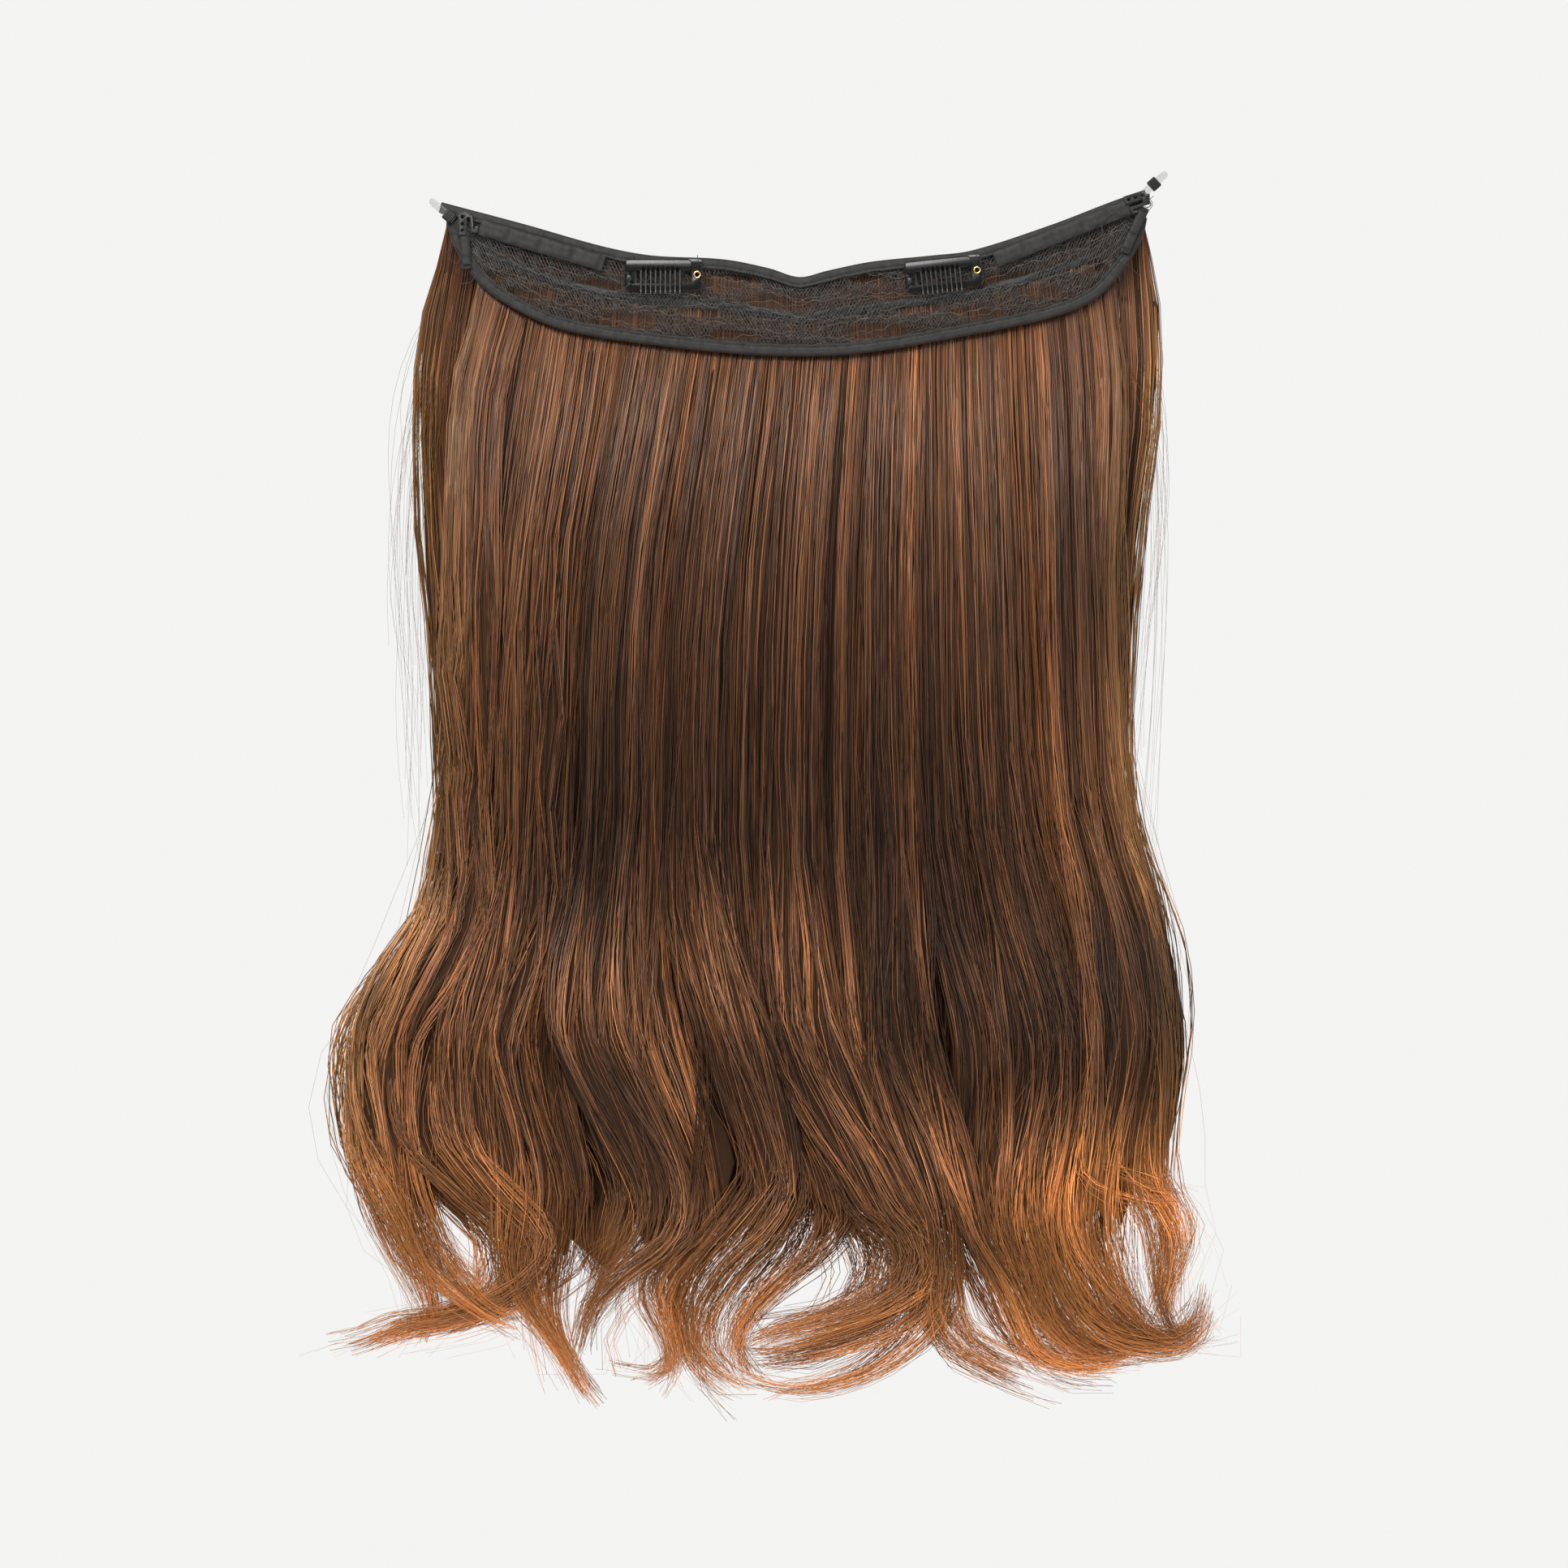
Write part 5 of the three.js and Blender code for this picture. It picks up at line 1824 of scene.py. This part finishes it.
    def build(self, finishes: Finishes) -> None:
        """Makes the row's inner bodies, strands and track.

        Args:
            finishes: the object's finishes.
        """
        draw = np.random.default_rng(self.seed)
        bodies = [self.lock_body(lock, number) for number, lock in enumerate(self.locks)]
        inner = make_object(self.name() + "_hair_bodies", joined(bodies), finishes.shaded_inner_hair)
        settle(inner, (self.name() + "_weft",))
        widths = np.array([lock[-1] for lock in self.locks], float)
        widths[[0, -1]] *= self.END_FULLNESS
        counts = np.round(self.strands * widths / widths.sum()).astype(int)
        made = [self.tress(lock, number, counts[number], draw) for number, lock in enumerate(self.locks)]
        for part, group in enumerate(np.array_split(np.arange(len(made)), self.pieces)):
            paths, radii, tones, turns = (np.concatenate([made[i][k] for i in group]) for k in range(4))
            settle_strands(f"{self.name()}_hair_{part + 1}", paths, radii, tones, turns, finishes.hair)
        settle(make_object(self.name() + "_track", self.track(), finishes.thread))


def strand_chart(count: int, stations: int, sides: int) -> Array:
    """A flat map for strands: each has its own column, with its length up the map.

    Args:
        count: how many strands.
        stations: points along a strand.
        sides: points round it.

    Returns:
        Flat coordinates of all the corners, from 0 to 1.
    """
    column = (np.arange(count)[:, None, None] + 0.2 + 0.3 * np.arange(sides)[None, None, :]) / count
    height = np.linspace(0, 1, stations)[None, :, None]
    return np.stack(np.broadcast_arrays(column, height), axis=-1).reshape(-1, 2)


def settle_strands(
    name: str, paths: Array, radii: Array, tones: Array, turns: Array | float, material: Material
) -> None:
    """Makes strands as one settled piece: thin tubes with their own colours and flat map.

    Args:
        name: the piece's name.
        paths: strands by stations by 3, in metres.
        radii: strands by stations, in metres.
        tones: colours, strands by stations by 3.
        turns: angle of each strand's first side, in radians.
        material: their finish.
    """
    surface = tubes(paths, radii, STRAND_SIDES, turns)
    surface.tones = np.repeat(tones.reshape(-1, 3), STRAND_SIDES, axis=0)
    surface.chart = strand_chart(*paths.shape[:2], STRAND_SIDES)
    settle(make_object(name, surface, material, STRAND_MAP))


@dataclass
class Flyaways:
    """Single loose hairs: bowed lines that start among the hair and flick out at the ends.

    Attributes:
        count: how many of them leave the locks.
        radius: radius of a hair.
        seed: seed of the draw.
        sides: hairs that stand off one side: how many, x of their starts and ends, and the farthest bow.
        reach: how far hairs may stand out at the left and at the right.
        tones: colours of the hair.
    """

    count: int = 400
    radius: float = 0.075 * MM
    seed: int = 77
    sides: tuple[tuple[int, float, float, float], ...] = ((34, -135, -152, -19), (24, 131, 136, 13))
    reach: Pair = (-197 * MM, 173 * MM)
    tones: HairTones = field(default_factory=HairTones)

    def beside(self, stations: int) -> Array:
        """Hairs that stand off the two sides under the band: each is a line down with half a wave out.

        Args:
            stations: points along a hair.

        Returns:
            Paths in metres, hairs by stations by 3.
        """
        draw = np.random.default_rng(self.seed + 1)
        share = np.linspace(0, 1, stations)[None, :]
        made = []
        for count, start, end, bow in self.sides:
            top = draw.uniform(-25, 20, count)[:, None]
            fall = draw.uniform(90, 230, count)[:, None]
            out = bow * draw.uniform(0.25, 1.1, count)[:, None]
            ripple = draw.normal(0, 1.2, count)[:, None]
            ripple = ripple * np.sin(share * draw.uniform(5, 11, count)[:, None])
            lean = draw.normal(0, 4, count)[:, None] * share
            x = start + (end - start) * share + out * np.sin(math.pi * share**0.7) + ripple + lean
            y = 11 + 6 * share + draw.normal(0, 3, count)[:, None] * share
            made.append(np.stack(np.broadcast_arrays(x, y, top - fall * share), axis=-1) * MM)
        return np.concatenate(made)

    def build(self, finishes: Finishes, weft: Weft) -> None:
        """Makes all the loose hairs as one piece.

        Args:
            finishes: the object's finishes.
            weft: the row whose locks they follow.
        """
        draw = np.random.default_rng(self.seed)
        lock = draw.integers(0, len(weft.locks), self.count)
        made = []
        for number, row in enumerate(weft.locks):
            count = int((lock == number).sum())
            paths, _, tones, _ = weft.tress(row, number, count, draw)
            made.append((paths[:, ::2], tones[:, ::2]))
        paths = np.concatenate([paths for paths, _ in made])
        tones = np.concatenate([tones for _, tones in made])
        share = np.linspace(0, 1, paths.shape[1])[None, :]
        turns = draw.uniform(0.8, 2.2, self.count)[:, None]
        bow = draw.normal(0, 9, self.count)[:, None] * MM * np.sin(share * math.pi * turns)
        outward = np.sign(paths[:, -1:, 0]) * np.abs(draw.normal(0, 9, self.count))[:, None] * MM
        paths[..., 0] += bow * smoothstep(0.1, 0.5, share) + outward * share**4
        paths[..., 0] = np.clip(paths[..., 0], *self.reach)
        paths[..., 1] -= np.abs(draw.normal(2, 2.5, self.count))[:, None] * MM * smoothstep(0.1, 0.5, share)
        beside = self.beside(paths.shape[1])
        plain = np.ones(beside.shape[:2])
        x, z = beside[..., 0] / MM, beside[..., 2] / MM
        # The side hairs take half of the painted glow
        side_tones = self.tones.along(x, z, 0 * plain, plain, 0.5 * plain)
        paths = np.concatenate([paths, beside])
        tones = np.concatenate([tones, side_tones])
        radii = np.full(paths.shape[:2], self.radius) * (1 - 0.5 * share)
        settle_strands("flyaway_hairs", paths, radii, tones, 0.0, finishes.hair)


# Camera, floor and light


@dataclass(frozen=True)
class SoftLight:
    """One large soft lamp."""

    name: str
    place: Triple
    target: Triple
    size: Pair
    watts: float
    colour: Triple

    def build(self) -> None:
        """Adds the lamp, turned to its target."""
        lamp = bpy.data.lights.new(self.name, "AREA")
        lamp.shape = "RECTANGLE"
        lamp.size, lamp.size_y = self.size
        lamp.energy = self.watts
        lamp.color = self.colour
        holder = bpy.data.objects.new(self.name, lamp)
        holder.location = self.place
        aim = Vector(self.target) - Vector(self.place)
        holder.rotation_euler = aim.to_track_quat("-Z", "Y").to_euler()
        holder.visible_camera = False
        holder.visible_transmission = False
        bpy.context.scene.collection.objects.link(holder)


@dataclass
class Studio:
    """A camera square to the band as in the photograph, a pale floor below and soft light."""

    distance: float = 2.4
    sensor: float = 36.0
    floor_z: float = -0.78
    floor_half: float = 1.1
    lamps: tuple[SoftLight, ...] = (
        SoftLight("key", (-0.5, -1.6, 0.95), (0.0, 0.0, -0.15), (1.3, 0.9), 54.0, (1.0, 0.985, 0.96)),
        SoftLight("fill", (1.5, -1.6, 0.2), (0.0, 0.0, -0.2), (1.0, 1.4), 10.0, (0.97, 0.985, 1.0)),
        SoftLight("glint", (0.05, -2.4, 0.22), (0.05, 0.0, 0.02), (0.11, 0.14), 0.9, (1.0, 1.0, 1.0)),
        SoftLight("back", (0.7, 1.4, 0.7), (0.0, 0.0, -0.2), (1.2, 1.2), 22.0, (1.0, 0.97, 0.93)),
    )

    def camera(self) -> None:
        """Adds the camera: the photograph's frame at the band, seen level."""
        side = PHOTO_SIDE * PIXEL_MM * MM
        data = bpy.data.cameras.new("camera")
        data.sensor_width = self.sensor
        data.lens = self.sensor * self.distance / side
        data.clip_start, data.clip_end = 0.05, 50
        holder = bpy.data.objects.new("camera", data)
        x = (PHOTO_SIDE / 2 - ORIGIN_PIXEL[0]) * PIXEL_MM * MM
        z = (ORIGIN_PIXEL[1] - PHOTO_SIDE / 2) * PIXEL_MM * MM
        holder.location = (x, -self.distance, z)
        holder.rotation_euler = (math.pi / 2, 0, 0)
        bpy.context.scene.collection.objects.link(holder)
        bpy.context.scene.camera = holder

    def floor(self) -> None:
        """Adds the pale floor."""
        half = self.floor_half
        corners = np.array([(-half, -half), (half, -half), (half, half), (-half, half)])
        points = np.concatenate([corners, np.full((4, 1), self.floor_z)], axis=1)
        material, shader = blank_material("pale_floor")
        set_inputs(shader, Base_Color=(0.8, 0.8, 0.795, 1), Roughness=0.7)
        make_object("floor", Surface(points, [np.arange(4)[None, :]]), material)

    def air(self) -> None:
        """Sets the pale surroundings: white to the camera, softer as light."""
        world = bpy.data.worlds.new("pale surroundings")
        world.use_nodes = True
        bpy.context.scene.world = world
        nodes, links = world.node_tree.nodes, world.node_tree.links
        soft = nodes["Background"]
        set_inputs(soft, Color=(1, 1, 1, 1), Strength=0.28)
        seen = nodes.new("ShaderNodeBackground")
        set_inputs(seen, Color=(0.9, 0.9, 0.895, 1), Strength=1.0)
        rays = nodes.new("ShaderNodeLightPath")
        mix = nodes.new("ShaderNodeMixShader")
        links.new(rays.outputs["Is Camera Ray"], mix.inputs["Fac"])
        links.new(soft.outputs["Background"], mix.inputs[1])
        links.new(seen.outputs["Background"], mix.inputs[2])
        links.new(mix.outputs["Shader"], nodes["World Output"].inputs["Surface"])

    def build(self) -> None:
        """Adds the camera, the floor, the surroundings and the lamps."""
        bpy.context.scene.view_settings.view_transform = "Standard"
        self.camera()
        self.floor()
        self.air()
        for lamp in self.lamps:
            lamp.build()


def triangle_count() -> int:
    """How many triangles the scene's meshes have: two less than its corners for each face."""
    meshes = [piece.data for piece in bpy.context.scene.objects if piece.type == "MESH"]
    return sum(len(mesh.loops) - 2 * len(mesh.polygons) for mesh in meshes)


def main() -> None:
    """Builds the studio and every piece of the hair extension, in order."""
    logging.basicConfig(level=logging.INFO, format="%(message)s")
    Studio().build()
    finishes = Finishes()
    Lace().build(finishes)
    top_gathers = ((4, 12, 0.3), (-18, 9, 0.22), (-100, 20, 0.1))
    bottom_gathers = ((122, 14, 0.16), (-125, 12, 0.14))
    Binding("top_binding", TOP_EDGE, 4.2 * MM, 0.0, top_gathers).build(finishes)
    Binding("bottom_binding", BOTTOM_EDGE, 4.6 * MM, 0.8 * MM, bottom_gathers).build(finishes)
    left_seams = (0.02, 0.24, 0.5, 0.76, 0.98)
    right_seams = (0.02, 0.24, 0.45, 0.67, 0.86)
    Tape("left_pocket_tape", (-126, 34.5), (-77, 20), 6.4 * MM, left_seams).build(finishes)
    Tape("right_pocket_tape", (77, 21.5), (130, 42.5), 6.4 * MM, right_seams, fold=True).build(finishes)
    Tape("left_end_tape", (-132.2, 34.5), (-131.2, 18), 4.0 * MM, (0.06, 0.94)).build(finishes)
    Tape("right_end_tape", (136, 42), (128, 24.5), 4.0 * MM, (0.06, 0.6, 0.94)).build(finishes)
    for side in Side:
        SnapClip(side).build(finishes)
    BandEnd(Side.LEFT, (-136, 37.1), (-145.6, 45.1), depth=-3.1, sleeve_at=2.6).build(finishes)
    BandEnd(Side.RIGHT, (135.4, 47.4), (144.6, 55.7), depth=-4.4, sleeve_at=5.6).build(finishes)
    LooseThreads().build(finishes)
    lower = Weft(
        HairRow.LOWER, LOWER_LOCKS, strands=2400, stations=27, radius=0.2 * MM, pieces=3,
        track_left=-128, track_right=126, seed=5, front_share=0.85, fill=0.16, painted_glow_share=0.5)
    middle = Weft(
        HairRow.MIDDLE, MIDDLE_LOCKS, strands=560, stations=21, radius=0.23 * MM, pieces=1,
        track_left=-124, track_right=118, seed=6, front_share=0.6, fill=0.42, painted_glow_share=0.5)
    upper = Weft(
        HairRow.UPPER, UPPER_LOCKS, strands=1700, stations=23, radius=0.225 * MM, pieces=2,
        track_left=-140, track_right=137, seed=7, front_share=0.28, fill=0.34, painted_glow_share=0.9)
    for weft in (lower, middle, upper):
        weft.build(finishes)
    Flyaways().build(finishes, lower)
    LOG.info("%d triangles in all", triangle_count())


if __name__ == "__main__":
    main()
